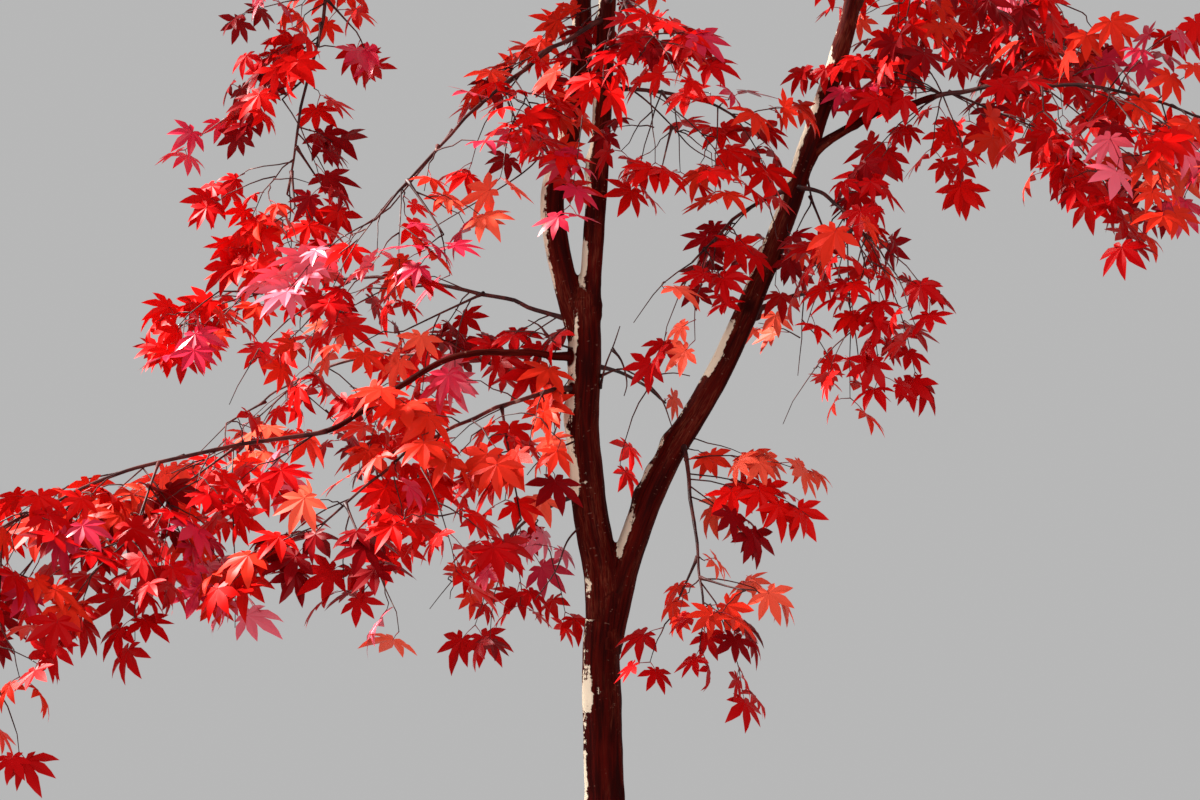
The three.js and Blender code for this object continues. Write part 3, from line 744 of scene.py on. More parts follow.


# Plain colours dealt out by spray: base colour, roughness, gloss, the record's slot, and three shares: how
# often the colour is taken as a rule, and what a mass with pink sheen and a warm one add to that. The pink
# ones stand for painted sheen.
tints = {
    "scarlet": ((0.61, 0.003, 0.002), 0.40, 0.05, "scarlet_leaves", (0.33, 0, 0)),
    "cherry": ((0.44, 0.001, 0.002), 0.38, 0.05, "scarlet_leaves", (0.25, 0, 0)),
    # This crimson is partly the leaves' own deep red and partly painted shade for leaves in shade.
    "crimson": ((0.21, 0.001, 0.003), 0.38, 0.05, "crimson_leaves", (0.18, 0, -0.1)),
    # These two pinks stand for painted sheen and glints on the leaves; the first is partly the leaves' own
    # pinkish red.
    "rose_sheen": ((0.56, 0.014, 0.045), 0.34, 0.22, "crimson_leaves", (0.03, 0.20, 0)),
    "glint_pink": ((0.78, 0.11, 0.16), 0.34, 0.25, "crimson_leaves", (0, 0.10, 0)),
    "vermilion": ((0.68, 0.022, 0.008), 0.42, 0.06, "orange_leaves", (0.15, 0, 0.2)),
    # This coral is partly the leaves' own orange and partly painted light shining through them.
    "coral_backlit": ((0.82, 0.080, 0.040), 0.42, 0.06, "orange_leaves", (0.04, 0, 0.18)),
}
sameTint = 0.5  # the share of a spray's shoots that take the spray's own tint


def growLeaves(number, row, bigLeaves, sideTwigs):
    # All the shoots of one mass and the leaves that find room on them. Twigs and shoots that bear none are
    # left out, and the others end where their last shoot leaves them.
    random = np.random.default_rng(number + 1)
    usualShare, pinkSheenAdds, warmer = np.array([shares for *_, shares in tints.values()]).T
    odds = np.maximum(usualShare + pinkSheenAdds * row["pinkSheen"] + warmer * row["warm"], 0)
    odds = odds / odds.sum()
    lines = [wandered(eased(row["stem"], row["turn"], False), twigShape["kink"], random)]
    lines += [wandered(line, twigShape["kink"] / 2, random) for line in sideTwigs]
    seen = photoShoots(list(masses)[number], row, lines, random)
    sprays = [sprayShoots(leaf, row, lines, random) for leaf in bigLeaves]
    firsts = [row["bare"]] + [looseShoots["sideBare"]] * len(sideTwigs)
    loose = [group for i, (line, first) in enumerate(zip(lines, firsts))
             for group in shootsBetween(number, i, line, first, random)]
    kinds = [(seen, 1, seenShoot["pairs"], spray["apart"]),
             (sprays, row["share"], spray["pairs"], spray["apart"]),
             (loose, row["share"], looseShoots["pairs"], looseShoots["apart"])]
    rows = [(group, *kind) for found, *kind in kinds for group in found]
    shoots, groups, candidates = [], [], []
    for (line, place, group), share, pairs, apart in rows:
        if random.random() > share:
            continue
        own = random.choice(len(tints), p=odds)
        groups.append((line, place, len(shoots)))
        for shoot in group:
            tint = own if random.random() < sameTint else random.choice(len(tints), p=odds)
            leaves = pairsOfLeaves(row, shoot, pairs, random)
            many = len(leaves["hub"])
            candidates.append(leaves | {
                "tint": np.full(many, tint), "apart": np.full(many, apart),
                "shoot": np.full(many, len(shoots)), "group": np.full(many, len(groups) - 1)})
            shoots.append(shoot)
    leaves = keptLeaves({key: np.concatenate([part[key] for part in candidates]) for key in candidates[0]})
    keptGroups = [groups[i] for i in np.unique(leaves.pop("group"))]
    kept = sorted({*leaves.pop("shoot").tolist(), *[first for *_, first in keptGroups]})
    starts, tips, faces = (np.array(column) for column in zip(*[shoots[i] for i in kept]))
    shares = np.linspace(0, 1, spray["shootPoints"])
    paths = np.stack([alongShoots((starts, tips, faces), share)[0] for share in shares], axis=1)
    paths[:, 1:-1] += random.normal(0, spray["nodeKink"], paths[:, 1:-1].shape)
    ends = [max([place for line, place, _ in keptGroups if line == i], default=0) for i in range(len(lines))]
    roots = [nearestOn(lines[:1], line.points[0])[1] for line, end in zip(lines[1:], ends[1:]) if end > 0]
    ends[0] = max([ends[0], *roots])
    return leaves, paths, [(line, end) for line, end in zip(lines, ends) if end > 0]


leafyMasses = [growLeaves(number, row, *grown[number]) for number, row in enumerate(massRows)]
foliage, shootPaths, twigLines = zip(*leafyMasses)
for name, leaves in zip(masses, foliage):
    print(name, len(leaves["hub"]), "leaves")
foliage = {key: np.concatenate([leaves[key] for leaves in foliage]) for key in foliage[0]}
print("leaves:", len(foliage["hub"]), "shoots:", sum(len(paths) for paths in shootPaths))


# Materials
class Wire:
    # One socket of a material's nodes. Sums written with it add Math nodes.
    def __init__(self, tree, socket=None):
        self.tree, self.socket = tree, socket

    def add(self, kind, settings=None, inputs=None, output=0):
        # Any node: its settings first, then the values or links of its sockets.
        node = self.tree.nodes.new(kind)
        for key, value in (settings or {}).items():
            setattr(node, key, value)
        for key, value in (inputs or {}).items():
            if isinstance(value, Wire):
                self.tree.links.new(value.socket, node.inputs[key])
            else:
                node.inputs[key].default_value = value
        return Wire(self.tree, node.outputs[output])

    def math(self, operation, first, second):
        # One sum of two values.
        return self.add("ShaderNodeMath", {"operation": operation}, {0: first, 1: second})

    def __add__(self, other):
        return self.math("ADD", self, other)

    def __sub__(self, other):
        return self.math("SUBTRACT", self, other)

    def __rsub__(self, other):
        return self.math("SUBTRACT", other, self)

    def __mul__(self, other):
        return self.math("MULTIPLY", self, other)

    __radd__, __rmul__ = __add__, __mul__

    def attribute(self, name, output):
        # A value (2) or a vector (1) that the mesh carries at its spots.
        return self.add("ShaderNodeAttribute", {"attribute_name": name}, output=output)

    def noise(self, scale, detail, roughness=0.55):
        # Clouds of values from 0 to 1, about 0.5.
        return self.add("ShaderNodeTexNoise", None,
                        {"Vector": self, "Scale": scale, "Detail": detail, "Roughness": roughness})

    def pattern(self, across, along, *cloud):
        # Clouds stretched by 1 / across and 1 / along.
        stretch = {0: self, 1: (across, across, along)}
        return self.add("ShaderNodeVectorMath", {"operation": "MULTIPLY"}, stretch).noise(*cloud)

    def bump(self, strength, distance):
        # The normal over this as a height.
        return self.add("ShaderNodeBump", None, {"Strength": strength, "Distance": distance, "Height": self})

    def between(self, low, high):
        # 0 below low, 1 above high, and a smooth step between.
        return self.add("ShaderNodeMapRange", {"interpolation_type": "SMOOTHSTEP"},
                        {"Value": self, "From Min": low, "From Max": high})

    def blend(self, first, second):
        # The first colour where this is 0, the second where it is 1.
        return self.add("ShaderNodeMix", {"data_type": "RGBA"}, {0: self, 6: first, 7: second}, 2)


def newMaterial(name, **plain):
    # A material whose shader has these plain values, and the starting point for its nodes.
    material = bpy.data.materials.new(name)
    material.use_nodes = True
    shader = material.node_tree.nodes["Principled BSDF"]
    for key, value in plain.items():
        shader.inputs[key.replace("_", " ")].default_value = value
    return material, shader, Wire(material.node_tree)


def connect(shader, **wires):
    # Wires led to the shader's sockets of these names, with _ for each space.
    for key, wire in wires.items():
        wire.tree.links.new(wire.socket, shader.inputs[key.replace("_", " ")])


barkFinish = {
    # deep and maroon are partly the bark's own reddish brown and partly painted red light that the leaves
    # reflect onto its shade
    "deep": (0.020, 0.0008, 0.0005, 1), "maroon": (0.068, 0.0022, 0.0010, 1),
    # the creamy pale colour in the next line is painted sunlight on the bark
    "brown": (0.13, 0.024, 0.012, 1), "paleAndSunlit": (0.66, 0.55, 0.42, 1), "speck": (0.20, 0.085, 0.060, 1),
    "gloss": 0.03, "bump": (0.5, 0.0012),
    "patterns": {  # fineness across and along the limb, scale, detail and roughness
        "streaks": (1, 0.07, 260, 4, 0.6), "fibres": (1, 0.12, 640, 3, 0.6), "broad": (1, 0.16, 38, 3),
        "specks": (0.5, 1, 330, 1), "specked": (1, 1, 45, 1), "patches": (1, 0.8, 15, 1),
        "ragged": (1, 1.6, 75, 3, 0.65)},
    "steps": {  # the values between which each of them sets in
        "maroon": (0.38, 0.62), "brown": (0.46, 0.62), "brownFibres": (0.4, 0.7), "specks": (0.68, 0.74),
        "specked": (0.45, 0.6), "paleAndSunlit": (1.285, 1.325), "sunny": (0.12, 0.4), "joints": (0.2, 0.4)}}


def barkMaterial():
    # Smooth maroon bark: fine streaks along the limb, browner bands, small pale specks, and on the side that
    # faces the sun ragged creamy patches of painted sunlight, made of the same streaks. The maroon is partly
    # painted red light from the leaves, and the knots' hollows get painted shade.
    steps = barkFinish["steps"]
    material, shader, start = newMaterial("maroon_bark", Specular_IOR_Level=barkFinish["gloss"])
    place = start.attribute("barkPlace", 1)
    sunny, knots, joints = (start.attribute(name, 2) for name in ("sunSide", "knotShade", "jointShade"))
    streaks, fibres, broad, specks, specked, patches, ragged = (
        place.pattern(*pattern) for pattern in barkFinish["patterns"].values())
    specks = specks.between(*steps["specks"]) * specked.between(*steps["specked"])
    # The maroon ground: partly the bark's own reddish brown, partly painted red light reflected from the
    # leaves.
    colour = (streaks * 0.6 + broad * 0.4).between(*steps["maroon"])
    colour = colour.blend(barkFinish["deep"], barkFinish["maroon"])
    bands = broad.between(*steps["brown"]) * fibres.between(*steps["brownFibres"]) * 0.8
    colour = bands.blend(colour, barkFinish["brown"])
    # Painted sunlight: ragged creamy patches on the side that faces the sun, left out near the boughs'
    # joints.
    patches = patches * 1.2 + ragged * 0.42 + fibres * 0.2 + sunny * sunny * 0.5
    paleAndSunlit = patches.between(*steps["paleAndSunlit"]) * sunny.between(*steps["sunny"])
    paleAndSunlit = paleAndSunlit * (1.0 - joints.between(*steps["joints"]))
    colour = paleAndSunlit.blend(colour, barkFinish["paleAndSunlit"])
    colour = (specks * 0.6).blend(colour, barkFinish["speck"])
    # Painted shade: the knots' hollows are darkened to the deep colour.
    colour = knots.blend(colour, barkFinish["deep"])
    height = streaks * 0.35 + broad * 0.5 + specks * 0.4 + fibres * 0.2 + paleAndSunlit * 0.1
    roughness = 0.55 + paleAndSunlit * 0.25 + streaks * 0.2
    connect(shader, Base_Color=colour, Roughness=roughness, Normal=height.bump(*barkFinish["bump"]))
    return material


twigFinish = {
    "dark": (0.024, 0.0025, 0.0025, 1), "maroon": (0.085, 0.012, 0.009, 1), "paleAndSunlit": (0.30, 0.17, 0.13, 1),
    "mottle": (34, 3), "maroonStep": (0.40, 0.60), "bleachedStep": (0.66, 0.74),
    "gloss": 0.25, "grain": (500, 2), "bump": (0.4, 0.0005)}


def twigMaterial():
    # Thin dark maroon twigs with a few bleached stretches.
    material, shader, start = newMaterial("maroon_twigs", Specular_IOR_Level=twigFinish["gloss"])
    place = start.add("ShaderNodeTexCoord", output=3)
    mottle = place.noise(*twigFinish["mottle"])
    colour = mottle.between(*twigFinish["maroonStep"]).blend(twigFinish["dark"], twigFinish["maroon"])
    colour = mottle.between(*twigFinish["bleachedStep"]).blend(colour, twigFinish["paleAndSunlit"])
    grain = place.noise(*twigFinish["grain"]).bump(*twigFinish["bump"])
    connect(shader, Base_Color=colour, Roughness=0.45 + mottle * 0.2, Normal=grain)
    return material


def plainMaterial(name, colour, roughness, gloss):
    # One colour all over.
    return newMaterial(name, Base_Color=(*colour, 1), Roughness=roughness, Specular_IOR_Level=gloss)[0]


massNodes = [f"leaves_{name}" for name in masses]


# Leaves, each tint a piece of its own
for tint, (name, (colour, roughness, gloss, slot, _)) in enumerate(tints.items()):
    own = foliage["tint"] == tint
    random = np.random.default_rng(leafShape["seed"] + tint)
    spots, faceSets = leafMesh(*(foliage[key][own] for key in ("hub", "axis", "face", "size")), random)
    leafSkin = plainMaterial(f"{name}_leaf", colour, roughness, gloss)
    piece = meshPiece(f"{name}_leaves", spots, faceSets, leafSkin)
    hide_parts(*massNodes)
    print(piece.name, own.sum(), "leaves")


stalk = {
    "colour": (0.26, 0.004, 0.008), "roughness": 0.4, "gloss": 0.25,
    "radius": 0.55, "taper": (1.5, 1, 1, 0.6),  # at its node, its middle, its leaf's hub and its end
    "ahead": 1.5, "rise": 1.2,  # how far its middle stands out
    "under": 2,  # how far it runs on under the leaf
    "sides": 3}


def stalkPiece():
    # Red stalks from node to hub. The middle of each is half-way, moved along the stalk's way and up.
    hub, node, axis = foliage["hub"], foliage["node"], foliage["axis"]
    middle = (hub + node) / 2 + foliage["way"] * stalk["ahead"] + up * stalk["rise"]
    paths = np.stack([node, middle, hub, hub + axis * stalk["under"]], axis=1)
    radii = np.broadcast_to(stalk["radius"] * np.array(stalk["taper"]), paths.shape[:2])
    stalkSkin = plainMaterial("red_stalks", stalk["colour"], stalk["roughness"], stalk["gloss"])
    piece = meshPiece("leaf_stalks", *tubes(paths, radii, stalk["sides"]), stalkSkin)
    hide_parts(*massNodes)
    return piece


def collaredTube(line, radii, sides, step, end=1.0, collar=twigShape["collar"], buried=0.0):
    # A tube up to a share of a line. Past the part that is buried in its limb it starts with a collar,
    # radius * (1 + rise * exp(-along / length)), and at its nodes it has low knobs, radius * (1 + knob *
    # cos(along, one turn for each node) ** power).
    shares = np.linspace(0, end, max(twigShape["fewest"], math.ceil(line.length * end / step)) + 1)
    along = shares * line.length
    rise, length = collar
    swell = 1 + rise * np.exp(-np.maximum(0, along - buried) / length)
    knob, power = twigShape["knob"]
    knobs = 1 + knob * np.maximum(0, np.cos(along * 2 * math.pi / twigShape["kinkSpacing"])) ** power
    return tubes(line.at(shares)[None], (mix(*radii, shares / end) * swell * knobs)[None], sides)


def bareTwig(*points):
    # A thin twig without leaves through points of the photo: across, down, and its depth in millimetres.
    return throughPoints([fromPhoto(*point) for point in points], steps=12)


bareTwigs = [
    bareTwig((600, 388, 0), (606, 364, -22), (614, 344, -28), (620, 326, -30)),
    bareTwig((600, 376, 0), (623, 369, -30), (639, 376, -36), (674, 373, -42), (690, 376, -40)),
    bareTwig((612, 349, -27), (621, 360, -34), (627, 384, -40), (624, 396, -44)),
    bareTwig((639, 376, -36), (650, 386, -38), (662, 400, -44), (672, 427, -50)),
    bareTwig((585, 352, 0), (556, 343, -26), (543, 334, -34), (530, 332, -40), (505, 331, -44)),
    bareTwig((548, 337, -30), (540, 326, -36), (528, 320, -40)),
    bareTwig((584, 438, 0), (566, 445, -26), (551, 453, -34), (537, 463, -40), (527, 475, -42)),
    bareTwig((588, 520, 0), (568, 540, -28), (556, 570, -36), (535, 600, -40)),
    bareTwig((806, 172, 0), (811, 203, -16), (805, 214, -20), (793, 238, -22)),
    bareTwig((810, 196, -13), (826, 236, -40), (832, 256, -46), (846, 293, -50), (855, 332, -52),
             (860, 372, -50)),
    bareTwig((603, 72, 0), (643, 98, -46), (672, 126, -58), (691, 147, -62), (718, 163, -64)),
    bareTwig((672, 126, -58), (667, 146, -60), (660, 176, -62)),
    bareTwig((603, 78, 0), (580, 85, -36), (567, 101, -42), (555, 119, -46), (546, 138, -48), (536, 161, -50),
             (430, 230, -90)),
]


def twigPiece():
    # The masses' stems and side twigs, every spray's shoots, and the bare twigs.
    parts = []
    for row, lines in zip(massRows, twigLines):
        (stem, end), *sides = lines
        collar = twigShape["collar" if row["buried"] else "carriedCollar"]
        parts.append(collaredTube(stem, twigShape["stemRadii"], twigShape["stemSides"], twigShape["step"],
                                  end, collar, row["buried"]))
        parts += [collaredTube(line, twigShape["sideRadii"], twigShape["sideSides"], twigShape["step"], end)
                  for line, end in sides]
    parts += [collaredTube(line, twigShape["bareRadii"], twigShape["sideSides"], twigShape["bareStep"])
              for line in bareTwigs]
    paths = np.concatenate(shootPaths)
    radii = mix(*spray["shootRadii"], np.linspace(0, 1, spray["shootPoints"]))
    parts.append(tubes(paths, np.broadcast_to(radii, paths.shape[:2]), twigShape["shootSides"]))
    piece = meshPiece("twigs", *joined(parts), twigMaterial())
    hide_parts(*massNodes)
    return piece


for piece in (stalkPiece(), twigPiece()):
    print(piece.name, len(piece.data.polygons), "faces")


# Bark
usualBoughRadii = (5.2, 3.3)
boughRadii = {"low_left_bough": (4.4, 3.4), "right_side_bough": (6.2, 4.0)}  # as the photo shows them
bark = {
    "sides": 40, "step": 8, "voxel": 2.7, "smoothing": (5, 0.5),  # how often, and how strongly
    "flare": {"spread": 27, "height": 62, "ribs": 5, "ribDepth": 0.3},
    "sunFrom": (-1.0, -0.35, 0.3),
    "boughsSunlit": 0.6,  # times as much painted sunlight as the limbs get
    "collar": (2.6, 0.55),  # of a bough's radius: how far it spreads over the limb, and how high it stands
    "below": 12,  # how far the trunk is made below the ground, before it is cut flat
    "fullRadius": 25,  # the limb's radius at which flutes and swellings have their whole depth
    "flutes": [(3, 0.55, 210, 0.9), (5, 0.40, 130, 2.1), (8, 0.28, 90, 4.0), (13, 0.18, 60, 5.2)],
    "wander": 1.7,  # radians that a flute strays round the limb
    "swells": [(190, 0.5, 0.3), (77, 0.35, 1.9), (31, 0.15, 4.4)],
    "knot": {"length": 0.8, "hollow": 2.4, "dark": 1.5},  # 1 / its length, how narrow its middle is, and how narrow its painted shade is
    "apart": 500,  # between two limbs' places in the patterns
    "samples": 4,  # between two rings that the bark is measured against
}
knots = [  # limb, height, direction in degrees from +X towards +Y, size, how far out, and how deep inside
    ("centre_leader", 1792, 180, 12, 7, 3.5),
    ("left_stem", 1478, 190, 16, 3.5, 0),
    ("right_bough", 1616, 262, 13, 3.5, 4.5),
    ("left_stem", 1612, 350, 10, 4, 2),
    ("right_bough", 1450, 160, 12, 4.5, 0),
    ("right_bough", 1412, 150, 10, 4.0, 1.5),
    ("right_bough", 1381, 150, 12, 4.5, 0),
    ("trunk", 830, 215, 17, 4.0, 4.5),
    ("trunk", 520, 60, 15, 3.5, 4.0),
    ("trunk", 1010, 330, 11, 2.5, 2.5),
    ("left_leader", 1880, 200, 9, 2.5, 2),
    ("left_leader", 2010, 30, 8, 2.5, 2),
    ("right_bough", 1960, 70, 9, 2.5, 2),
]


def trunkFlare(length, share, angle):
    # How far the trunk spreads: spread * (1 + ribDepth * cos(ribs * angle)) * exp(-way up / height).
    flare = bark["flare"]
    ribs = 1 + flare["ribDepth"] * np.cos(flare["ribs"] * angle)
    return flare["spread"] * ribs * np.exp(-share * length / flare["height"])


def limbTube(name):
    # A smooth closed tube round a limb's middle line. The trunk starts below the ground and has its flare.
    line = limbLines[name]
    start = -bark["below"] / line.length if name == "trunk" else 0
    shares = np.linspace(start, 1, math.ceil(line.length / bark["step"]))
    path = line.at(shares)
    turn = np.arange(bark["sides"]) * 2 * math.pi / bark["sides"]
    radii = mix(*limbRadii[name], shares)[:, None] + np.zeros(bark["sides"])
    if name == "trunk":
        radii = radii + trunkFlare(line.length, shares[:, None], turn)
    spots, faceSets = tubes(path[None], np.ones((1, len(shares))), bark["sides"])
    ring = spots.reshape(len(shares), bark["sides"], 3) - path[:, None]
    return (path[:, None] + ring * radii[..., None]).reshape(-1, 3), faceSets


class LimbSamples:
    # Fine rings of frames along the main limbs, against which a spot of bark is measured.
    def __init__(self):
        rows = []
        for number, (name, line) in enumerate((name, limbLines[name]) for name in mainLimbs):
            shares = np.linspace(0, 1, math.ceil(line.length / bark["samples"]))
            ahead = line.ahead(shares)
            right = unit(np.cross(ahead, [0.0, 1.0, 0.0]))
            rows.append((line.at(shares), ahead, right, np.cross(ahead, right), mix(*limbRadii[name], shares),
                         shares * line.length, np.full(len(shares), number)))
        self.centre, self.ahead, self.right, self.out, self.radius, self.along, self.limb = (
            np.concatenate(column) for column in zip(*rows))

    def nearest(self, spots, blockSize=4000):
        # For each spot the ring whose skin is nearest, in blocks that fit in memory.
        found, centres = [], self.centre.astype(np.float32)
        for block in np.array_split(spots, math.ceil(len(spots) / blockSize)):
            distance = np.linalg.norm(block[:, None].astype(np.float32) - centres, axis=2)
            found.append(np.argmin(distance - self.radius, axis=1))
        return np.concatenate(found)


def addValues(mesh, name, values):
    # A value or a vector at each spot, which a material reads by its name.
    kind, key = ("FLOAT_VECTOR", "vector") if values.ndim > 1 else ("FLOAT", "value")
    mesh.attributes.new(name, kind, "POINT").data.foreach_set(key, values.astype(np.float32).ravel())


def unrolled(angle, radius, along):
    # Where a spot of bark lies in the patterns: radius * cos(angle), radius * sin(angle), and its way along.
    return np.stack([np.cos(angle) * radius, np.sin(angle) * radius, along], axis=-1).reshape(-1, 3) * mm


def addSunSide(mesh, most=1.0):
    # How far each spot faces the sun, where sunlight is painted on the bark: most * cos(angle between them),
    # at least 0.
    normals = np.empty(len(mesh.vertices) * 3)
    mesh.vertices.foreach_get("normal", normals)
    facing = most * np.maximum(0, normals.reshape(-1, 3) @ unit(np.array(bark["sunFrom"])))
    addValues(mesh, "sunSide", facing)


def buriedLength(name):
    # How much of a side bough is inside its limb: the limb's radius where it starts.
    parent, height, *_ = sideBoughs[name]
    return mix(*limbRadii[parent], limbLines[parent].shareAtHeight(height))


def limbJoints():
    # Where side boughs and masses' stems come out of the main limbs' skin, and how thick they are there.
    found = [(limbLines[name].at(buriedLength(name) / limbLines[name].length),
              boughRadii.get(name, usualBoughRadii)[0]) for name in sideBoughs]
    found += [(row["stem"].at(row["buried"] / row["stem"].length), twigShape["stemRadii"][0])
              for row in massRows if row["buried"]]
    return found


def barkPiece():
    # The main limbs' tubes are joined by a voxel remesh and smoothed. Then every spot moves out along its
    # normal by the sum of flutes, depth * cos(count * angle + phase), swellings, depth * cos(along / run +
    # phase), knots, out * exp(-far**2), less their hollows, and collars round the boughs' joints.
    rough = meshPiece("limb_tubes", *joined([limbTube(name) for name in mainLimbs]), None)
    remesh = rough.modifiers.new("join", "REMESH")
    remesh.mode, remesh.voxel_size = "VOXEL", bark["voxel"] * mm
    smooth = rough.modifiers.new("soften", "SMOOTH")
    smooth.iterations, smooth.factor = bark["smoothing"]
    ready = rough.evaluated_get(bpy.context.evaluated_depsgraph_get())
    mesh = bpy.data.meshes.new_from_object(ready)
    bpy.data.objects.remove(rough)
    spots, normals = np.empty(len(mesh.vertices) * 3), np.empty(len(mesh.vertices) * 3)
    mesh.vertices.foreach_get("co", spots)
    mesh.vertices.foreach_get("normal", normals)
    spots, normals = spots.reshape(-1, 3) / mm, normals.reshape(-1, 3)

    rings = LimbSamples()
    ring = rings.nearest(spots)
    way = spots - rings.centre[ring]
    angle = np.arctan2(np.sum(way * rings.out[ring], axis=1), np.sum(way * rings.right[ring], axis=1))
    along = rings.along[ring] + np.sum(way * rings.ahead[ring], axis=1)
    thickness = rings.radius[ring] / bark["fullRadius"]
    rise = sum(depth * np.cos(count * angle + phase + bark["wander"] * np.sin(along / run + rings.limb[ring]))
               for count, depth, run, phase in bark["flutes"])
    rise = rise + sum(depth * np.cos(2 * math.pi * along / run + phase + np.sin(angle + rings.limb[ring]))
                      for run, depth, phase in bark["swells"])
    rise = rise * thickness
    dark, knot = np.zeros(len(spots)), bark["knot"]
    for limb, height, degrees, size, out, hollow in knots:
        line = limbLines[limb]
        share = line.shareAtHeight(height)
        radius = mix(*limbRadii[limb], share)
        direction = np.array([math.cos(math.radians(degrees)), math.sin(math.radians(degrees)), 0])
        way = (spots - line.at(share) - direction * radius) * [1, 1, knot["length"]]
        far = np.linalg.norm(way, axis=1) / size
        rise = rise + out * np.exp(-far**2) - hollow * np.exp(-(knot["hollow"] * far) ** 2)
        # Painted shade in the hollows: darkest at the middle of each knot with a hollow.
        dark = np.maximum(dark, np.exp(-(knot["dark"] * far) ** 4) * min(1, hollow))
    nearJoint = np.zeros(len(spots))
    for spot, radius in limbJoints():
        near = np.exp(-(np.linalg.norm(spots - spot, axis=1) / (radius * bark["collar"][0])) ** 2)
        rise = rise + radius * bark["collar"][1] * near
        nearJoint = np.maximum(nearJoint, near)
    spots = spots + normals * rise[:, None]
    mesh.vertices.foreach_set("co", (spots * mm).ravel())
    # knotShade carries the painted shade of the knots' hollows.
    addValues(mesh, "knotShade", dark)
    # jointShade marks where the painted sunlight is left out, near the boughs' joints.
    addValues(mesh, "jointShade", nearJoint)
    # Where sunlight is painted on the limbs.
    addSunSide(mesh)
    along = along + rings.limb[ring] * bark["apart"]
    addValues(mesh, "barkPlace", unrolled(angle, rings.radius[ring], along))
    return mesh


def cutAtGround(mesh):
    # The trunk's foot is cut flat at ground level and closed with one face.
    cut = bmesh.new()
    cut.from_mesh(mesh)
    whole = [*cut.verts, *cut.edges, *cut.faces]
    found = bmesh.ops.bisect_plane(cut, geom=whole, plane_co=(0, 0, 0), plane_no=(0, 0, -1),
                                   clear_outer=True)
    rim = [part for part in found["geom_cut"] if isinstance(part, bmesh.types.BMEdge)]
    bmesh.ops.edgeloop_fill(cut, edges=rim)
    cut.to_mesh(mesh)
    cut.free()


barkSkin = barkMaterial()
barkMesh = barkPiece()
cutAtGround(barkMesh)
barkMesh.materials.clear()
barkMesh.materials.append(barkSkin)
barkMesh.shade_smooth()
trunk = bpy.data.objects.new("trunk_and_stems", barkMesh)
bpy.context.scene.collection.objects.link(trunk)
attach(trunk, "root")
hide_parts(*mainLimbs)
print(trunk.name, len(barkMesh.polygons), "faces")


boughShape = {
    "sides": 16, "step": 7, "collar": (0.5, 15),
    "ridges": 3, "ridgeDepth": 0.05,  # how many, and a share of the radius
    "swelling": 0.9,  # radians from ring to ring
    "apart": 300,  # between two boughs' places in the patterns
    "seed": 11}


def boughPiece():
    # Tubes whose rings are widened by 1 + ridgeDepth * cos(ridges * angle) * cos(swelling * ring's number).
    random, sides = np.random.default_rng(boughShape["seed"]), boughShape["sides"]
    parts, places = [], []
    turns = {limb: row["turn"] for (limb, *_), row in zip(masses.values(), massRows)}
    for number, name in enumerate(sideBoughs):
        line = eased(limbLines[name], turns[name], True)
        path = wandered(line, twigShape["kink"], random)
        spots, faceSets = collaredTube(path, boughRadii.get(name, usualBoughRadii), sides, boughShape["step"],
                                       1.0, boughShape["collar"], buriedLength(name))
        rings = spots.reshape(-1, sides, 3)
        turn = np.arange(sides) * math.pi / (sides / 2)
        ridges = boughShape["ridgeDepth"] * np.cos(boughShape["ridges"] * turn + number)
        grain = 1 + ridges * np.cos(np.arange(len(rings))[:, None] * boughShape["swelling"])
        centres = rings.mean(axis=1, keepdims=True)
        rings = centres + (rings - centres) * grain[..., None]
        along = np.linspace(0, line.length, len(rings))[:, None] + np.zeros(sides)
        radius = mix(*sideBoughRadii, np.linspace(0, 1, len(rings)))[:, None]
        places.append(unrolled(turn, radius, along + number * boughShape["apart"]))
        parts.append((rings.reshape(-1, 3), faceSets))
    piece = meshPiece("side_boughs", *joined(parts), barkSkin)
    addValues(piece.data, "barkPlace", np.concatenate(places))
    # The boughs' sun side gets weaker painted sunlight.
    addSunSide(piece.data, bark["boughsSunlit"])
    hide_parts(*sideBoughs)
    return piece


boughs = boughPiece()
print(boughs.name, len(boughs.data.polygons), "faces")


# Floor, light and camera
floorShape = {
    "sides": 96, "reach": [1500.0, 2900.0, 4300.0], "below": 0.001,
    "darker": (0.22, 0.22, 0.218, 1), "paler": (0.25, 0.25, 0.247, 1), "mottle": (3, 2),
    "roughness": 0.9, "gloss": 0.1}


def studioFloor():
    # A pale disc just below the ground: rings of spots, reach * cos(turn) and reach * sin(turn).
    sides, reach = floorShape["sides"], np.array(floorShape["reach"])[:, None]
    turn = np.arange(sides) * 2 * math.pi / sides
    rings = np.stack([np.cos(turn) * reach, np.sin(turn) * reach, np.zeros((len(reach), sides))], axis=-1)
    index = np.arange(len(reach) * sides).reshape(len(reach), sides)
    inner, outer = index[:-1], index[1:]
    walls = np.stack([inner, outer, np.roll(outer, -1, axis=1), np.roll(inner, -1, axis=1)], axis=-1)
    mesh = bpy.data.meshes.new("studio_floor")
    mesh.from_pydata((rings.reshape(-1, 3) * mm - [0, 0, floorShape["below"]]).tolist(), [],
                     [*walls.reshape(-1, 4).tolist(), index[0].tolist()])
    material, shader, start = newMaterial("pale_floor", Roughness=floorShape["roughness"],
                                          Specular_IOR_Level=floorShape["gloss"])
    mottle = start.add("ShaderNodeTexCoord", output=3).noise(*floorShape["mottle"])
    connect(shader, Base_Color=mottle.blend(floorShape["darker"], floorShape["paler"]))
    mesh.materials.append(material)
    floor = bpy.data.objects.new("studio_floor", mesh)
    bpy.context.scene.collection.objects.link(floor)


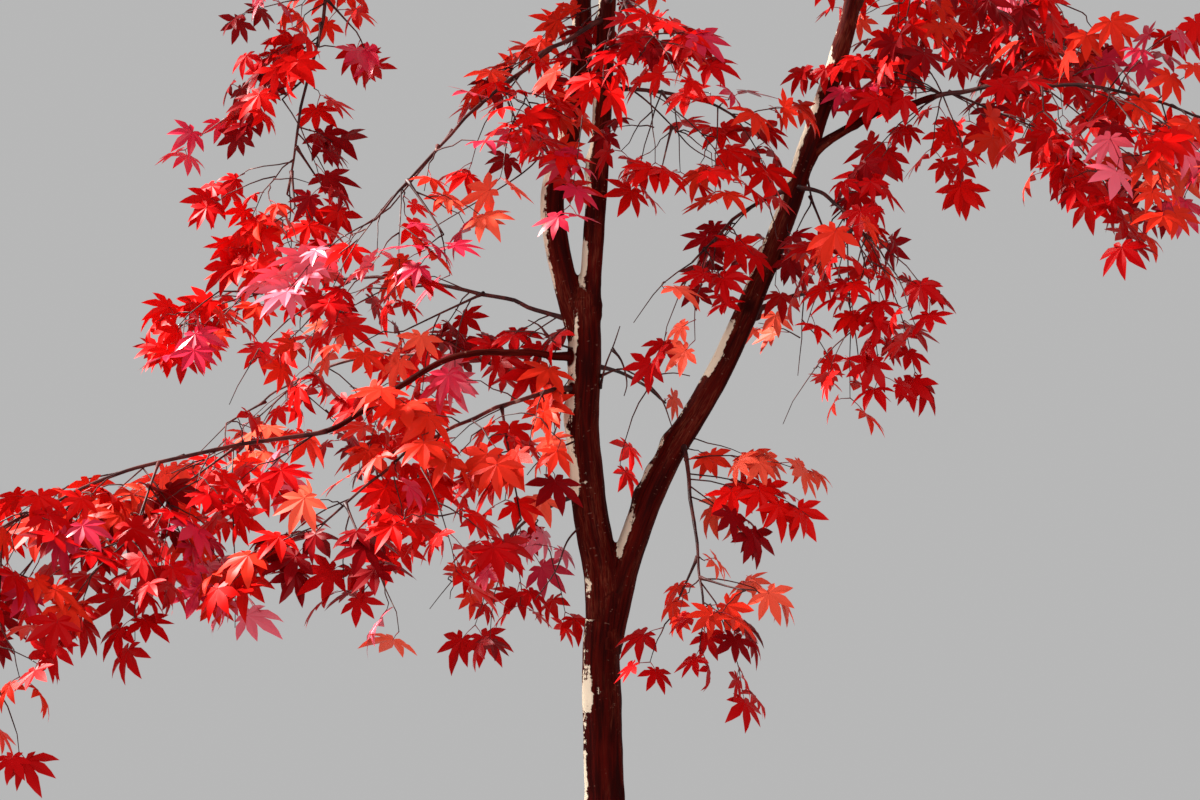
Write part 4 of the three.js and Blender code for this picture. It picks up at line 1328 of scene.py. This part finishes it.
lights = {  # place, aim, width in metres, power in watts and colour
    "sun_side": ((-3.4, 0.9, 4.4), (0, 0, 1.6), 0.7, 880, (1.0, 0.97, 0.92)),
    "front_fill": ((1.6, -4.8, 3.0), (0, 0, 1.6), 3.0, 105, (0.97, 0.98, 1.0)),
    "low_fill": ((-2.6, -3.8, 0.9), (0, 0, 1.5), 2.4, 38, (1.0, 0.98, 0.97))}
sky = {"colour": (0.88, 0.88, 0.88, 1), "strength": 0.54}


def lookFrom(thing, place, aim):
    # A light or camera at its place, turned so that its own -Z runs to its aim and its Y stays up.
    thing.location = place
    thing.rotation_euler = (Vector(aim) - Vector(place)).to_track_quat("-Z", "Y").to_euler()


def studioLights():
    # Square lights at their places, and an even grey sky.
    for name, (place, aim, width, power, colour) in lights.items():
        lamp = bpy.data.lights.new(name, "AREA")
        lamp.size, lamp.energy, lamp.color = width, power, colour
        thing = bpy.data.objects.new(name, lamp)
        bpy.context.scene.collection.objects.link(thing)
        lookFrom(thing, place, aim)
    world = bpy.data.worlds.new("pale_studio")
    world.use_nodes = True
    background = world.node_tree.nodes["Background"]
    background.inputs["Color"].default_value = sky["colour"]
    background.inputs["Strength"].default_value = sky["strength"]
    bpy.context.scene.world = world


camera = {
    "place": (-0.005, -4.5, 1.5), "aim": (-0.005, 0, 1.5), "sensor": 36, "farthest": 60,
    "millimetresPerPixel": 1.25, "pixels": 1200}  # at the trunk, and across the photo


def studioCamera():
    # The photo's view: focal length = distance / width seen there * sensor width.
    lens = bpy.data.cameras.new("camera")
    lens.sensor_width = camera["sensor"]
    distance = -camera["place"][1] / mm
    lens.lens = distance / camera["millimetresPerPixel"] / camera["pixels"] * camera["sensor"]
    lens.clip_end = camera["farthest"]
    thing = bpy.data.objects.new("camera", lens)
    bpy.context.scene.collection.objects.link(thing)
    lookFrom(thing, camera["place"], camera["aim"])
    bpy.context.scene.camera = thing


studioFloor()
studioLights()
studioCamera()
bpy.context.scene.view_settings.view_transform = "Standard"
print("floor, lights:", len(lights), "and camera")
